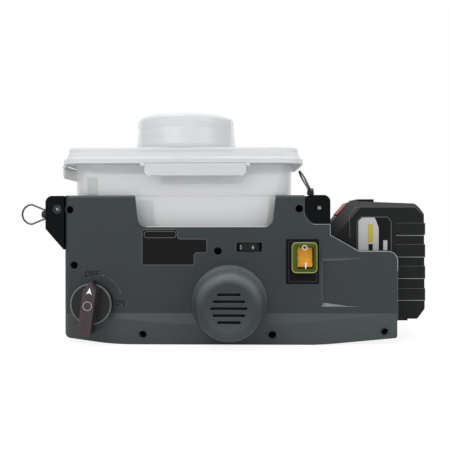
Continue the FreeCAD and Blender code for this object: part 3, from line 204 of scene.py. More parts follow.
class Shader(Nodes):
    """One material and the short calls that build its tree."""

    bevel_samples = 6
    edge_gain = 6.0

    def __init__(self, name: str) -> None:
        """Starts a material with a plain shader.

        Args:
            name: the material's name.
        """
        self.material = bpy.data.materials.new(name)
        self.material.use_nodes = True
        super().__init__(self.material.node_tree)
        self.base = self.tree.nodes["Principled BSDF"]
        self.output = self.tree.nodes["Material Output"]

    def feed(self, **inputs: object) -> None:
        """Sets or links sockets of the main shader, with _ for a space in a socket's name.

        Args:
            inputs: values or signals by socket name.
        """
        for key, value in inputs.items():
            socket = self.base.inputs[key.replace("_", " ")]
            if isinstance(value, Signal):
                self.tree.links.new(value.socket, socket)
            elif isinstance(value, tuple):
                socket.default_value = (*value, 1.0)
            else:
                socket.default_value = value

    def place(self, stretch: Point = (1.0, 1.0, 1.0)) -> Signal:
        """Object coordinates, in metres times the stretch along each axis."""
        coordinates = self.add("TexCoord", out="Object")
        return self.add("Mapping", inputs={"Vector": coordinates, "Scale": stretch})

    def part(self, vector: Signal, axis: str) -> Signal:
        """The X, Y or Z part of a vector."""
        return self.add("SeparateXYZ", inputs={0: vector}, out=axis)

    def noise(self, scale: float, detail: float = 2.0, stretch: Point = (1.0, 1.0, 1.0)) -> Signal:
        """Noise of about 0 to 1: blotches in a metre, octaves and factors along the axes."""
        places = self.place(stretch)
        return self.add("TexNoise", inputs={"Vector": places, "Scale": scale, "Detail": detail})

    def blend(self, factor: Value, low: object, high: object) -> Signal:
        """A colour between low, at a factor of 0, and high, at 1."""
        ends = [(*value, 1.0) if isinstance(value, tuple) else value for value in (low, high)]
        return self.add("Mix", {"data_type": "RGBA"}, {0: factor, 6: ends[0], 7: ends[1]}, 2)

    def edges(self, width: float) -> Signal:
        """A mask of edges, found by the turn that rounding gives the surface there; the edges it finds
        are paled partly for wear and partly as a painted highlight.

        Args:
            width: radius of the rounding, in metres.

        Returns:
            0 on flat ground, rising to a half on edges.
        """
        rounded = self.add("Bevel", {"samples": self.bevel_samples}, {"Radius": width})
        flat = self.add("NewGeometry", out="Normal")
        turn = self.add("VectorMath", {"operation": "DOT_PRODUCT"}, {0: rounded, 1: flat}, "Value")
        return ((1.0 - turn) * self.edge_gain).above(0.5, 1.0) * 0.5

    def relief(self, height: Signal, strength: float, distance: float, rounding: float) -> Signal:
        """A bump over rounded edges.

        Args:
            height: the height map.
            strength: share of the bump that shows.
            distance: height of the bump, in metres.
            rounding: radius that the edges seem to have, in metres.

        Returns:
            The normal.
        """
        rounded = self.add("Bevel", {"samples": self.bevel_samples}, {"Radius": rounding})
        return self.add(
            "Bump",
            inputs={"Height": height, "Strength": strength, "Distance": distance, "Normal": rounded},
        )


def shade(colour: Colour, share: float) -> Colour:
    """A colour with each of its parts times a share."""
    return tuple(part * share for part in colour)


class Finish:
    """What all finishes share: a named material that the finish's own method paints."""

    def make(self, name: str) -> bpy.types.Material:
        """Builds the material.

        Args:
            name: the material's name.

        Returns:
            The material.
        """
        shader = Shader(name)
        self.paint(shader)
        return shader.material

    def paint(self, shader: Shader) -> None:
        """Paints the finish, in each finish's own way."""
        raise NotImplementedError


@dataclass(frozen=True)
class MouldedPlastic(Finish):
    """Spark-eroded moulded plastic, slightly mottled, paler on edges, partly for wear and partly as a
    painted highlight, and paled by painted light on faces that turn up and, where set, low down.
    """

    colour: Colour
    edge: Colour
    roughness: float = 0.42
    grain: float = 0.5
    rounding: float = 0.5 * MM
    shine: float = 0.3
    # Painted light from above: how far the faces that turn up are paled towards the edge colour.
    painted_top_light: float = 0.0
    # Painted light low down: below this height the colour is paled towards the edge colour, fading over
    # low_fade, by up to low_share.
    low_part: float = 0.0
    low_fade: float = 0.8 * MM
    low_share: float = 0.22
    mottle: Pair = (0.9, 1.12)
    edge_reach: float = 1.4
    clouds: float = 9.0
    grains: float = 1500.0
    unevenness: float = 0.14
    grain_share: float = 0.35
    grain_depth: float = 0.04 * MM
    facing_up: Pair = (0.3, 0.6)

    def paint(self, shader: Shader) -> None:
        """Paints the plastic.

        Args:
            shader: the material's shader.
        """
        fine = shader.noise(self.grains)
        dark, light = (shade(self.colour, share) for share in self.mottle)
        mottled = shader.blend(shader.noise(self.clouds), dark, light)
        # Edges paled towards the edge colour: partly wear, partly a painted highlight.
        colour = shader.blend(shader.edges(self.rounding * self.edge_reach), mottled, self.edge)
        if self.painted_top_light:
            # Painted light: faces that turn up are paled as if lit from above.
            facing = shader.part(shader.add("NewGeometry", out="Normal"), "Z")
            painted_light = facing.above(*self.facing_up) * self.painted_top_light
            if self.low_part:
                # Painted light: the part below low_part is paled as well.
                low = 1.0 - shader.part(shader.place(), "Z").above(self.low_part, self.low_fade)
                painted_light = painted_light.larger(low * self.low_share)
            colour = shader.blend(painted_light, colour, self.edge)
        shader.feed(
            Base_Color=colour,
            Roughness=fine.about(self.roughness, self.unevenness),
            Normal=shader.relief(fine, self.grain * self.grain_share, self.grain_depth, self.rounding),
            Specular_IOR_Level=self.shine,
        )


@dataclass(frozen=True)
class TwoLevelPlastic(Finish):
    """The knob's plastic, dark on the low disc and greyer on the raised pointer."""

    low: Colour
    high: Colour
    edge: Colour
    step: float = 79.0 * MM
    step_width: float = 0.6 * MM
    rounding: float = 0.7 * MM
    edge_reach: float = 1.2
    roughness: float = 0.36
    grains: float = 1300.0
    unevenness: float = 0.12
    grain_share: float = 0.12
    grain_depth: float = 0.04 * MM
    shine: float = 0.3

    def paint(self, shader: Shader) -> None:
        """Paints the plastic.

        Args:
            shader: the material's shader.
        """
        fine = shader.noise(self.grains)
        raised = (0.0 - shader.part(shader.place(), "Y")).above(self.step, self.step_width)
        plain = shader.blend(raised, self.low, self.high)
        # Edges paled towards the edge colour: partly wear, partly a painted highlight.
        shader.feed(
            Base_Color=shader.blend(shader.edges(self.rounding * self.edge_reach), plain, self.edge),
            Roughness=fine.about(self.roughness, self.unevenness),
            Normal=shader.relief(fine, self.grain_share, self.grain_depth, self.rounding),
            Specular_IOR_Level=self.shine,
        )


@dataclass(frozen=True)
class MilkyPlastic(Finish):
    """Moulded plastic that hides part of what is behind each of its faces."""

    colour: Colour
    cover: float
    roughness: float = 0.34
    rounding: float = 0.5 * MM
    shine: float = 0.45
    clouds: Pair = (14.0, 3.0)
    cloud_shade: float = 0.96
    unevenness: float = 0.1
    grains: float = 700.0
    grain_share: float = 0.15
    grain_depth: float = 0.03 * MM

    def paint(self, shader: Shader) -> None:
        """Paints the plastic.

        Args:
            shader: the material's shader.
        """
        cloud = shader.noise(*self.clouds)
        fine = shader.noise(self.grains)
        shader.feed(
            Base_Color=shader.blend(cloud, shade(self.colour, self.cloud_shade), self.colour),
            Roughness=cloud.about(self.roughness, self.unevenness),
            Normal=shader.relief(fine, self.grain_share, self.grain_depth, self.rounding),
            Alpha=self.cover,
            Specular_IOR_Level=self.shine,
        )


@dataclass(frozen=True)
class BootRubber(Finish):
    """Tinted rubber of the switch's cover, thin and clear over the rocker, deep round it."""

    edge: Colour
    deep: Colour
    middle: Pair = (70.2 * MM, 82.4 * MM)
    half_window: Pair = (7.5 * MM, 9.7 * MM)
    cover: float = 0.9
    window_cover: float = 0.06
    cover_edge: Pair = (0.1 * MM, 0.5 * MM)
    tint_edge: Pair = (2.0 * MM, 3.0 * MM)
    roughness: float = 0.2
    clouds: float = 90.0
    haze: float = 0.1
    haze_depth: float = 0.1 * MM
    rounding: float = 0.6 * MM
    shine: float = 0.2

    def paint(self, shader: Shader) -> None:
        """Paints the rubber.

        Args:
            shader: the material's shader.
        """
        axes = shader.place()
        beside = abs(shader.part(axes, "X") - self.middle[0]) - self.half_window[0]
        over = abs(shader.part(axes, "Z") - self.middle[1]) - self.half_window[1]
        outside = beside.larger(over)
        covered = outside.above(*self.cover_edge) * (self.cover - self.window_cover)
        haze = shader.noise(self.clouds)
        shader.feed(
            Base_Color=shader.blend(outside.above(*self.tint_edge), self.deep, self.edge),
            Roughness=self.roughness + haze * self.haze,
            Normal=shader.relief(haze, self.haze, self.haze_depth, self.rounding),
            Alpha=self.window_cover + covered,
            Specular_IOR_Level=self.shine,
        )


@dataclass(frozen=True)
class Metal(Finish):
    """Bare or plated metal with fine marks from its making."""

    colour: Colour
    roughness: float
    marks: Point = (1.0, 1.0, 1.0)
    rounding: float = 0.25 * MM
    grains: Pair = (420.0, 4.0)
    grain_share: float = 0.12
    grain_depth: float = 0.03 * MM
    stains: float = 40.0
    stain_shade: float = 0.82
    unevenness: float = 0.12

    def paint(self, shader: Shader) -> None:
        """Paints the metal.

        Args:
            shader: the material's shader.
        """
        marks = shader.noise(*self.grains, self.marks)
        stain = shader.noise(self.stains)
        shader.feed(
            Base_Color=shader.blend(stain, shade(self.colour, self.stain_shade), self.colour),
            Roughness=marks.about(self.roughness, self.unevenness),
            Metallic=1.0,
            Normal=shader.relief(marks, self.grain_share, self.grain_depth, self.rounding),
        )


@dataclass(frozen=True)
class LitPlastic(Finish):
    """Tinted plastic, with a painted glow where glow is set."""

    colour: Colour
    deep: Colour
    glow: float = 0.0
    roughness: float = 0.2
    rounding: float = 0.4 * MM
    clouds: float = 180.0
    cloud_edge: Pair = (0.5, 0.5)
    cloud_relief: Pair = (0.1, 0.05 * MM)
    unevenness: float = 0.08

    def paint(self, shader: Shader) -> None:
        """Paints the plastic.

        Args:
            shader: the material's shader.
        """
        cloud = shader.noise(self.clouds)
        colour = shader.blend(cloud.above(*self.cloud_edge), self.deep, self.colour)
        shader.feed(
            Base_Color=colour,
            Roughness=cloud.about(self.roughness, self.unevenness),
            Normal=shader.relief(cloud, *self.cloud_relief, self.rounding),
        )
        # Painted glow: the plastic gives off light of its own.
        if self.glow:
            shader.feed(Emission_Color=colour, Emission_Strength=self.glow)


@dataclass(frozen=True)
class PrintAndHighlight(Finish):
    """Flat print with a faint unevenness; the same finish gives the pale lines of painted highlights."""

    colour: Colour
    roughness: float = 0.45
    shine: float = 0.2
    speckles: float = 900.0
    speckle_shade: float = 0.88
    unevenness: float = 0.1

    def paint(self, shader: Shader) -> None:
        """Paints the print or the painted highlight.

        Args:
            shader: the material's shader.
        """
        speckle = shader.noise(self.speckles)
        shader.feed(
            Base_Color=shader.blend(speckle, shade(self.colour, self.speckle_shade), self.colour),
            Roughness=speckle.about(self.roughness, self.unevenness),
            Specular_IOR_Level=self.shine,
        )


FINISHES = {
    # housing_plastic, cover_plastic, battery_plastic and boot_rim pale the faces that turn up, as painted
    # light from above; housing_plastic and cover_plastic also pale their lower part, as painted light.
    "housing_plastic": MouldedPlastic(
        (0.030, 0.036, 0.038), (0.13, 0.145, 0.145), 0.45, 0.6, 0.5 * MM, 0.22,
        0.5, 29.5 * MM,
    ),
    "cover_plastic": MouldedPlastic(
        (0.031, 0.037, 0.039), (0.13, 0.145, 0.145), 0.45, 0.6, 0.5 * MM, 0.22,
        0.7, 17.0 * MM, 26.0 * MM, 0.3,
    ),
    "bracket_plastic": MouldedPlastic(
        (0.0032, 0.0038, 0.0042), (0.03, 0.033, 0.037), 0.5, 0.5, 0.5 * MM, 0.05,
    ),
    "black_plastic": MouldedPlastic(
        (0.0062, 0.0048, 0.0065), (0.06, 0.054, 0.066), 0.45, 0.5, 0.5 * MM, 0.07,
    ),
    "knob_plastic": TwoLevelPlastic((0.0055, 0.0055, 0.006), (0.03, 0.03, 0.032), (0.15, 0.15, 0.155)),
    # A pale ring on the knob's rim: a painted highlight.
    "knob_rim_highlight": MouldedPlastic((0.07, 0.07, 0.072), (0.30, 0.30, 0.305), 0.18, 0.2, 0.3 * MM, 0.8),
    "dial_plastic": MouldedPlastic((0.006, 0.006, 0.007), (0.03, 0.03, 0.03), 0.5, 0.5, 0.3 * MM, 0.2),
    "battery_plastic": MouldedPlastic(
        (0.0078, 0.0084, 0.009), (0.085, 0.085, 0.09), 0.5, 0.9, 0.6 * MM, 0.14, 0.35,
    ),
    "terminal_plastic": MouldedPlastic((0.02, 0.02, 0.02), (0.05, 0.05, 0.05), 0.5),
    "return_tube_plastic": MouldedPlastic((0.05, 0.054, 0.04), (0.08, 0.085, 0.07), 0.5),
    "strainer_plastic": MouldedPlastic((0.05, 0.05, 0.05), (0.1, 0.1, 0.1), 0.5),
    "gasket_rubber": MouldedPlastic((0.55, 0.56, 0.56), (0.6, 0.6, 0.6), 0.7),
    # Near-black frame: painted shadow in the gap round the switch's bezel.
    "switch_painted_shadow": MouldedPlastic(
        (0.003, 0.003, 0.003), (0.006, 0.006, 0.006), 0.7, 0.3, 0.2 * MM, 0.1,
    ),
    "gear_plastic": MouldedPlastic((0.75, 0.72, 0.62), (0.8, 0.78, 0.7), 0.45),
    "board_green": MouldedPlastic((0.015, 0.12, 0.04), (0.05, 0.2, 0.08), 0.35),
    "cell_wrap": MouldedPlastic((0.05, 0.16, 0.32), (0.1, 0.2, 0.4), 0.35),
    "tube_plastic": MilkyPlastic((0.80, 0.81, 0.80), 0.7),
    "tank_plastic": MilkyPlastic((0.82, 0.82, 0.825), 0.44),
    "lid_plastic": MilkyPlastic((0.72, 0.73, 0.74), 0.7),
    "latch_plastic": MilkyPlastic((0.71, 0.715, 0.72), 0.62),
    "liner_plastic": MilkyPlastic((0.88, 0.885, 0.89), 0.5),
    "cap_clear": MilkyPlastic((0.83, 0.84, 0.85), 0.55, 0.14),
    "boot_clear": BootRubber((0.075, 0.105, 0.003), (0.04, 0.052, 0.003)),
    # Pale yellow-green for the painted highlight round the boot's front edge; faces that turn up are
    # paled further, as painted light from above.
    "boot_rim": MouldedPlastic((0.22, 0.24, 0.05), (0.62, 0.66, 0.40), 0.3, 0.3, 0.3 * MM, 0.4, 0.8),
    # The rocker's painted glow: it gives off a little light though the switch is off.
    "rocker_amber": LitPlastic((0.84, 0.37, 0.006), (0.62, 0.25, 0.004), 0.1),
    "button_red": LitPlastic((0.30, 0.012, 0.020), (0.22, 0.008, 0.012), 0.0, 0.45),
    "screw_steel": Metal((0.045, 0.045, 0.047), 0.4),
    # Painted highlight: a pale line along the front edge of the switch's bezel.
    "bezel_edge": PrintAndHighlight((0.045, 0.040, 0.050), 0.4),
    # Painted highlight: the bright cross in the recess of each dark bracket screw.
    "screw_cross": Metal((0.55, 0.55, 0.56), 0.3),
    "motor_steel": Metal((0.035, 0.035, 0.037), 0.5, (1.0, 0.15, 1.0)),
    "shaft_steel": Metal((0.55, 0.55, 0.56), 0.25, (1.0, 0.2, 1.0)),
    "gear_metal": Metal((0.5, 0.5, 0.5), 0.45),
    "pump_metal": Metal((0.55, 0.55, 0.56), 0.38),
    "fitting_brass": Metal((0.62, 0.60, 0.52), 0.24, (0.2, 1.0, 1.0)),
    "swivel_metal": Metal((0.055, 0.055, 0.06), 0.35),
    "ring_chrome": Metal((0.10, 0.10, 0.105), 0.22),
    "print_white": PrintAndHighlight((0.80, 0.80, 0.80)),
    "digit_grey": PrintAndHighlight((0.50, 0.50, 0.50)),
    "print_rose": PrintAndHighlight((0.14, 0.036, 0.052)),
    "print_ring": PrintAndHighlight((0.55, 0.42, 0.44)),
    "relief_grey": PrintAndHighlight((0.011, 0.013, 0.014), 0.5, 0.1),
    # Painted highlight along the raised words' edges and on the raised arc.
    "relief_light": PrintAndHighlight((0.10, 0.11, 0.11), 0.5),
    # edge_light and screw_ring: pale colours for painted highlights round the screw holes, along the
    # bay's wall and the bracket's foot, and round a screw.
    "edge_light": PrintAndHighlight((0.048, 0.055, 0.057), 0.4),
    "screw_ring": PrintAndHighlight((0.12, 0.13, 0.14), 0.4),
    # Lighter copies of the housing's plastic for the scoop's ledges, as painted light: the top ledge is
    # brightened against its shade, and the low ledge is a painted highlight.
    "ledge_painted_pale": MouldedPlastic((0.055, 0.063, 0.063), (0.12, 0.13, 0.13), 0.35, 0.5, 0.3 * MM, 0.4),
    "ledge_painted_lit": MouldedPlastic((0.085, 0.098, 0.098), (0.14, 0.155, 0.155), 0.35, 0.5, 0.3 * MM, 0.4),
    "ledge_painted_highlight": MouldedPlastic((0.24, 0.26, 0.26), (0.35, 0.37, 0.37), 0.3, 0.5, 0.3 * MM, 0.5),
    # edge_bright: a bright colour for painted highlights along the bay's edges and the grips' lower
    # edges.
    "edge_bright": PrintAndHighlight((0.34, 0.35, 0.35), 0.4),
    "hose_plastic": MouldedPlastic((0.22, 0.225, 0.17), (0.3, 0.3, 0.25), 0.5),
    # Pale grey for the painted highlights on the battery's raised frame, its ridge and the upper grip
    # edges.
    "battery_rib": MouldedPlastic((0.08, 0.083, 0.086), (0.14, 0.14, 0.145), 0.4, 0.4, 0.2 * MM, 0.3),
    # A paler copy of the latches' plastic: a painted highlight on their raised borders and along the
    # windows' sills.
    "latch_edge": MilkyPlastic((0.84, 0.845, 0.85), 0.75, 0.25),
    "swivel_knurl": Metal((0.04, 0.04, 0.045), 0.4),
    "sticker_black": PrintAndHighlight((0.006, 0.0055, 0.0065), 0.4, 0.1),
    "sticker_outline": PrintAndHighlight((0.17, 0.175, 0.175), 0.4),
    "sticker_grey": PrintAndHighlight((0.48, 0.48, 0.48), 0.4),
    "sticker_yellow": PrintAndHighlight((0.50, 0.40, 0.06), 0.4),
}
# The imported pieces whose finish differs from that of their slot.
OWN_FINISH = {"motor_cover": "cover_plastic"}


class Finishes:
    """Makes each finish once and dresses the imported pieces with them."""

    def __init__(self) -> None:
        """Starts with nothing made."""
        self._made: dict[str, bpy.types.Material] = {}

    def get(self, name: str) -> bpy.types.Material:
        """The material of a finish.

        Args:
            name: the finish's name.

        Returns:
            Its material.
        """
        if name not in self._made:
            self._made[name] = FINISHES[name].make(name)
        return self._made[name]

    def dress_frame(self) -> None:
        """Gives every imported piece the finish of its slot."""
        for part in frame["record"]["subparts"]:
            mesh = frame["nodes"][part["node"]].data
            mesh.materials.clear()
            mesh.materials.append(self.get(OWN_FINISH.get(part["node"], part["material_slot"])))
            log.info("dressed %s", part["node"])


def rectangle(sides: Sides) -> Points:
    """The corners, as x and z, of a rectangle given as left, right, low and high."""
    left, right, low, high = sides
    return ((left, low), (right, low), (right, high), (left, high))


def stood_on(foot: Point, axis: Point) -> Matrix:
    """The move that brings a form drawn about Z to a foot and an axis."""
    return Matrix.Translation(foot) @ Vector(axis).to_track_quat("Z", "X").to_matrix().to_4x4()


class Form:
    """A mesh in millimetres that operators build up and shape."""

    wire_facets = 1
    letter_depth = 0.05
    letter_facets = 3

    def __init__(self, shape: Optional[bmesh.types.BMesh] = None) -> None:
        """Starts from nothing or goes on from a given shape."""
        self.shape = shape or bmesh.new()

    @classmethod
    def outline(cls, points: Points, y: float, radius: float = 0.0, segments: int = 4) -> "Form":
        """A flat face in a plane of constant y, with rounded corners.

        Args:
            points: corners as x and z.
            y: where the plane lies.
            radius: rounding of the corners.
            segments: facets of each rounding.

        Returns:
            The face.
        """
        form = cls()
        corners = [form.shape.verts.new((x, y, z)) for x, z in points]
        form.shape.faces.new(corners)
        if radius:
            bmesh.ops.bevel(
                form.shape, geom=corners, offset=radius, offset_type="OFFSET", segments=segments,
                profile=0.5, affect="VERTICES", material=-1, clamp_overlap=True,
            )
        return form

    @classmethod
    def box(cls, low: Point, high: Point) -> "Form":
        """A block between its lowest and its highest corner."""
        sides = (low[0], high[0], low[2], high[2])
        return cls.outline(rectangle(sides), low[1]).thicken(high[1] - low[1])

    @classmethod
    def turned(cls, profile: Points, middle: Point, axis: Point, steps: int = 48) -> "Form":
        """A profile turned about an axis.

        Args:
            profile: a closed run of radius and height along the axis.
            middle: a point on the axis.
            axis: the axis.
            steps: facets round the axis.

        Returns:
            The turned shape.
        """
        form = cls()
        verts = [form.shape.verts.new((r, 0.0, h)) for r, h in profile]
        edges = [form.shape.edges.new((verts[i - 1], verts[i])) for i in range(len(verts))]
        bmesh.ops.spin(
            form.shape, geom=verts + edges, cent=(0, 0, 0), axis=(0, 0, 1), angle=2 * math.pi,
            steps=steps, use_merge=True, use_duplicate=False,
        )
        bmesh.ops.remove_doubles(form.shape, verts=form.shape.verts[:], dist=TURNED_GAP)
        bmesh.ops.recalc_face_normals(form.shape, faces=form.shape.faces[:])
        return form.move(stood_on(middle, axis))

    @classmethod
    def ring(cls, inner: float, outer: float, depth: float, front: Point, steps: int = 48) -> "Form":
        """A flat ring that faces the front, from the middle of its front face back by its depth."""
        profile = ((outer, 0.0), (inner, 0.0), (inner, depth), (outer, depth))
        return cls.turned(profile, front, BACK, steps)

    @classmethod
    def wire(cls, points: Sequence[Point], radius: float) -> "Form":
        """A round wire along points.

        Args:
            points: its course.
            radius: its radius.

        Returns:
            The wire.
        """
        curve = bpy.data.curves.new("wire", "CURVE")
        curve.dimensions = "3D"
        curve.bevel_depth = radius
        curve.bevel_resolution = cls.wire_facets
        curve.use_fill_caps = True
        spline = curve.splines.new("POLY")
        spline.points.add(len(points) - 1)
        for knot, point in zip(spline.points, points):
            knot.co = (*point, 1.0)
        return cls(from_curve(curve))

    @classmethod
    def lettering(cls, words: str, low: Point, high: Point, weight: float = 0.0) -> "Form":
        """Raised lettering that faces the front and fills a box.

        Args:
            words: the letters.
            low: the box's lowest corner.
            high: its highest corner.
            weight: how much the strokes are thickened, as a share of the letter size.

        Returns:
            The letters.
        """
        curve = bpy.data.curves.new("lettering", "FONT")
        curve.body = words
        curve.extrude = cls.letter_depth
        curve.offset = weight
        curve.resolution_u = cls.letter_facets
        form = cls(from_curve(curve))
        form.move(Matrix.Rotation(math.radians(90.0), 4, "X"))
        places = [vert.co for vert in form.shape.verts]
        least = Vector([min(place[i] for place in places) for i in range(3)])
        most = Vector([max(place[i] for place in places) for i in range(3)])
        scale = Matrix.Diagonal([(high[i] - low[i]) / (most[i] - least[i]) for i in range(3)] + [1.0])
        return form.move(Matrix.Translation(low) @ scale @ Matrix.Translation(-least))

    def thicken(self, depth: float) -> "Form":
        """Gives flat faces a thickness towards the back.

        Args:
            depth: the thickness.

        Returns:
            This form.
        """
        made = bmesh.ops.extrude_face_region(self.shape, geom=self.shape.faces[:])
        moved = [item for item in made["geom"] if isinstance(item, bmesh.types.BMVert)]
        bmesh.ops.translate(self.shape, verts=moved, vec=(0.0, depth, 0.0))
        bmesh.ops.recalc_face_normals(self.shape, faces=self.shape.faces[:])
        return self

    def rim(self, width: float) -> "Form":
        """Keeps only a band along the edge of a flat face.

        Args:
            width: the band's width.

        Returns:
            This form.
        """
        middle = self.shape.faces[:]
        bmesh.ops.inset_region(
            self.shape, faces=middle, thickness=width, use_even_offset=True, use_boundary=True,
        )
        bmesh.ops.delete(self.shape, geom=middle, context="FACES")
        return self

    def ease(self, width: float) -> "Form":
        """Cuts the sharp edges off.

        Args:
            width: the cut's width, nothing at 0.

        Returns:
            This form.
        """
        sharp = [edge for edge in self.shape.edges if edge.calc_face_angle(0.0) > SHARP]
        if width and sharp:
            bmesh.ops.bevel(
                self.shape, geom=sharp, offset=width, offset_type="OFFSET", segments=1,
                profile=0.5, affect="EDGES", material=-1, clamp_overlap=True,
            )
        return self

    def move(self, matrix: Matrix) -> "Form":
        """Moves, turns or scales the form."""
        bmesh.ops.transform(self.shape, matrix=matrix, verts=self.shape.verts[:])
        return self

    def mirror(self) -> "Form":
        """Mirrors the form from the front to the back.

        Returns:
            This form.
        """
        self.move(Matrix.Diagonal((1.0, -1.0, 1.0, 1.0)))
        bmesh.ops.reverse_faces(self.shape, faces=self.shape.faces[:])
        return self

    def join(self, other: "Form") -> "Form":
        """Takes another form in.

        Args:
            other: the form, used up by this.

        Returns:
            This form.
        """
        carrier = bpy.data.meshes.new("carrier")
        other.shape.to_mesh(carrier)
        self.shape.from_mesh(carrier)
        bpy.data.meshes.remove(carrier)
        other.shape.free()
        return self

    def repeat(self, count: int, step: Matrix) -> "Form":
        """Adds copies, each one step on from the last.

        Args:
            count: how many there are in all.
            step: the move from one to the next.

        Returns:
            This form.
        """
        latest = self.shape.verts[:] + self.shape.edges[:] + self.shape.faces[:]
        for _ in range(count - 1):
            copied = bmesh.ops.duplicate(self.shape, geom=latest)["geom"]
            verts = [item for item in copied if isinstance(item, bmesh.types.BMVert)]
            bmesh.ops.transform(self.shape, matrix=step, verts=verts)
            latest = copied
        return self


def from_curve(curve: bpy.types.Curve) -> bmesh.types.BMesh:
    """Turns a curve or lettering into a mesh.

    Args:
        curve: the curve's data, used up by this.

    Returns:
        Its mesh.
    """
    carrier = bpy.data.objects.new("carrier", curve)
    bpy.context.scene.collection.objects.link(carrier)
    mesh = bpy.data.meshes.new_from_object(carrier)
    shape = bmesh.new()
    shape.from_mesh(mesh)
    bmesh.ops.remove_doubles(shape, verts=shape.verts[:], dist=CURVE_GAP)
    bpy.data.objects.remove(carrier)
    bpy.data.meshes.remove(mesh)
    return shape


def turn_about(middle: Point, axis: str, degrees: float) -> Matrix:
    """A turn by degrees about the X, Y or Z axis through a point."""
    move = Matrix.Translation(middle)
    return move @ Matrix.Rotation(math.radians(degrees), 4, axis) @ move.inverted()


@dataclass(frozen=True)
class Band:
    """A raised band inside a rectangle with rounded corners that faces the front."""

    sides: Sides
    front: float
    corner: float
    width: float
    thickness: float
    eased: float = 0.0
    segments: int = 4

    def form(self) -> Form:
        """The band's form."""
        flat = Form.outline(rectangle(self.sides), self.front, self.corner, self.segments)
        return flat.rim(self.width).thicken(self.thickness).ease(self.eased)


@dataclass
class SubAssembly:
    """Pieces of the sprayer that are built together, in millimetres."""

    finishes: Finishes

    def build(self) -> None:
        """Builds and places the pieces, in each sub-assembly's own way."""
        raise NotImplementedError

    def put(
        self, name: str, form: Form, finish: str, body: str = "housing", slot: Optional[str] = None,
    ) -> None:
        """Makes a named piece of a form.

        Args:
            name: the piece's name.
            form: its form, used up by this.
            finish: the finish's name.
            body: the body that it rides on.
            slot: the record's material slot of its finish; not used.
        """
        form.move(Matrix.Scale(MM, 4))
        mesh = bpy.data.meshes.new(name)
        form.shape.to_mesh(mesh)
        form.shape.free()
        mesh.shade_smooth()
        mesh.set_sharp_from_angle(angle=SHARP)
        mesh.materials.append(self.finishes.get(finish))
        piece = bpy.data.objects.new(name, mesh)
        bpy.context.scene.collection.objects.link(piece)
        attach(piece, body)
        log.info("placed %s", name)


@dataclass
class FrontSticker(SubAssembly):
    """The bare black sticker under the window, in three steps with a light outline."""

    face: float = -65.0
    thickness: float = 0.2
    corners: Points = (
        (-84.9, 75.3), (-34.8, 75.3), (-34.8, 86.9), (-22.6, 86.9),
        (-22.6, 100.3), (-50.6, 100.3), (-50.6, 109.3), (-84.9, 109.3),
    )
    corner: float = 2.4
    line: float = 0.36
    pill: Band = Band((-82.9, -51.9, 101.2, 107.6), -65.2 - PRINT, 3.122, 0.36, PRINT, 0.0, 8)

    def build(self) -> None:
        """Places the sticker and its lines."""
        front = self.face - self.thickness
        sheet = Form.outline(self.corners, front, self.corner).thicken(self.thickness)
        self.put("front_sticker", sheet, "sticker_black")
        lines = Form.outline(self.corners, front - PRINT, self.corner).rim(self.line).thicken(PRINT)
        self.put("front_sticker_lines", lines.join(self.pill.form()), "sticker_outline")


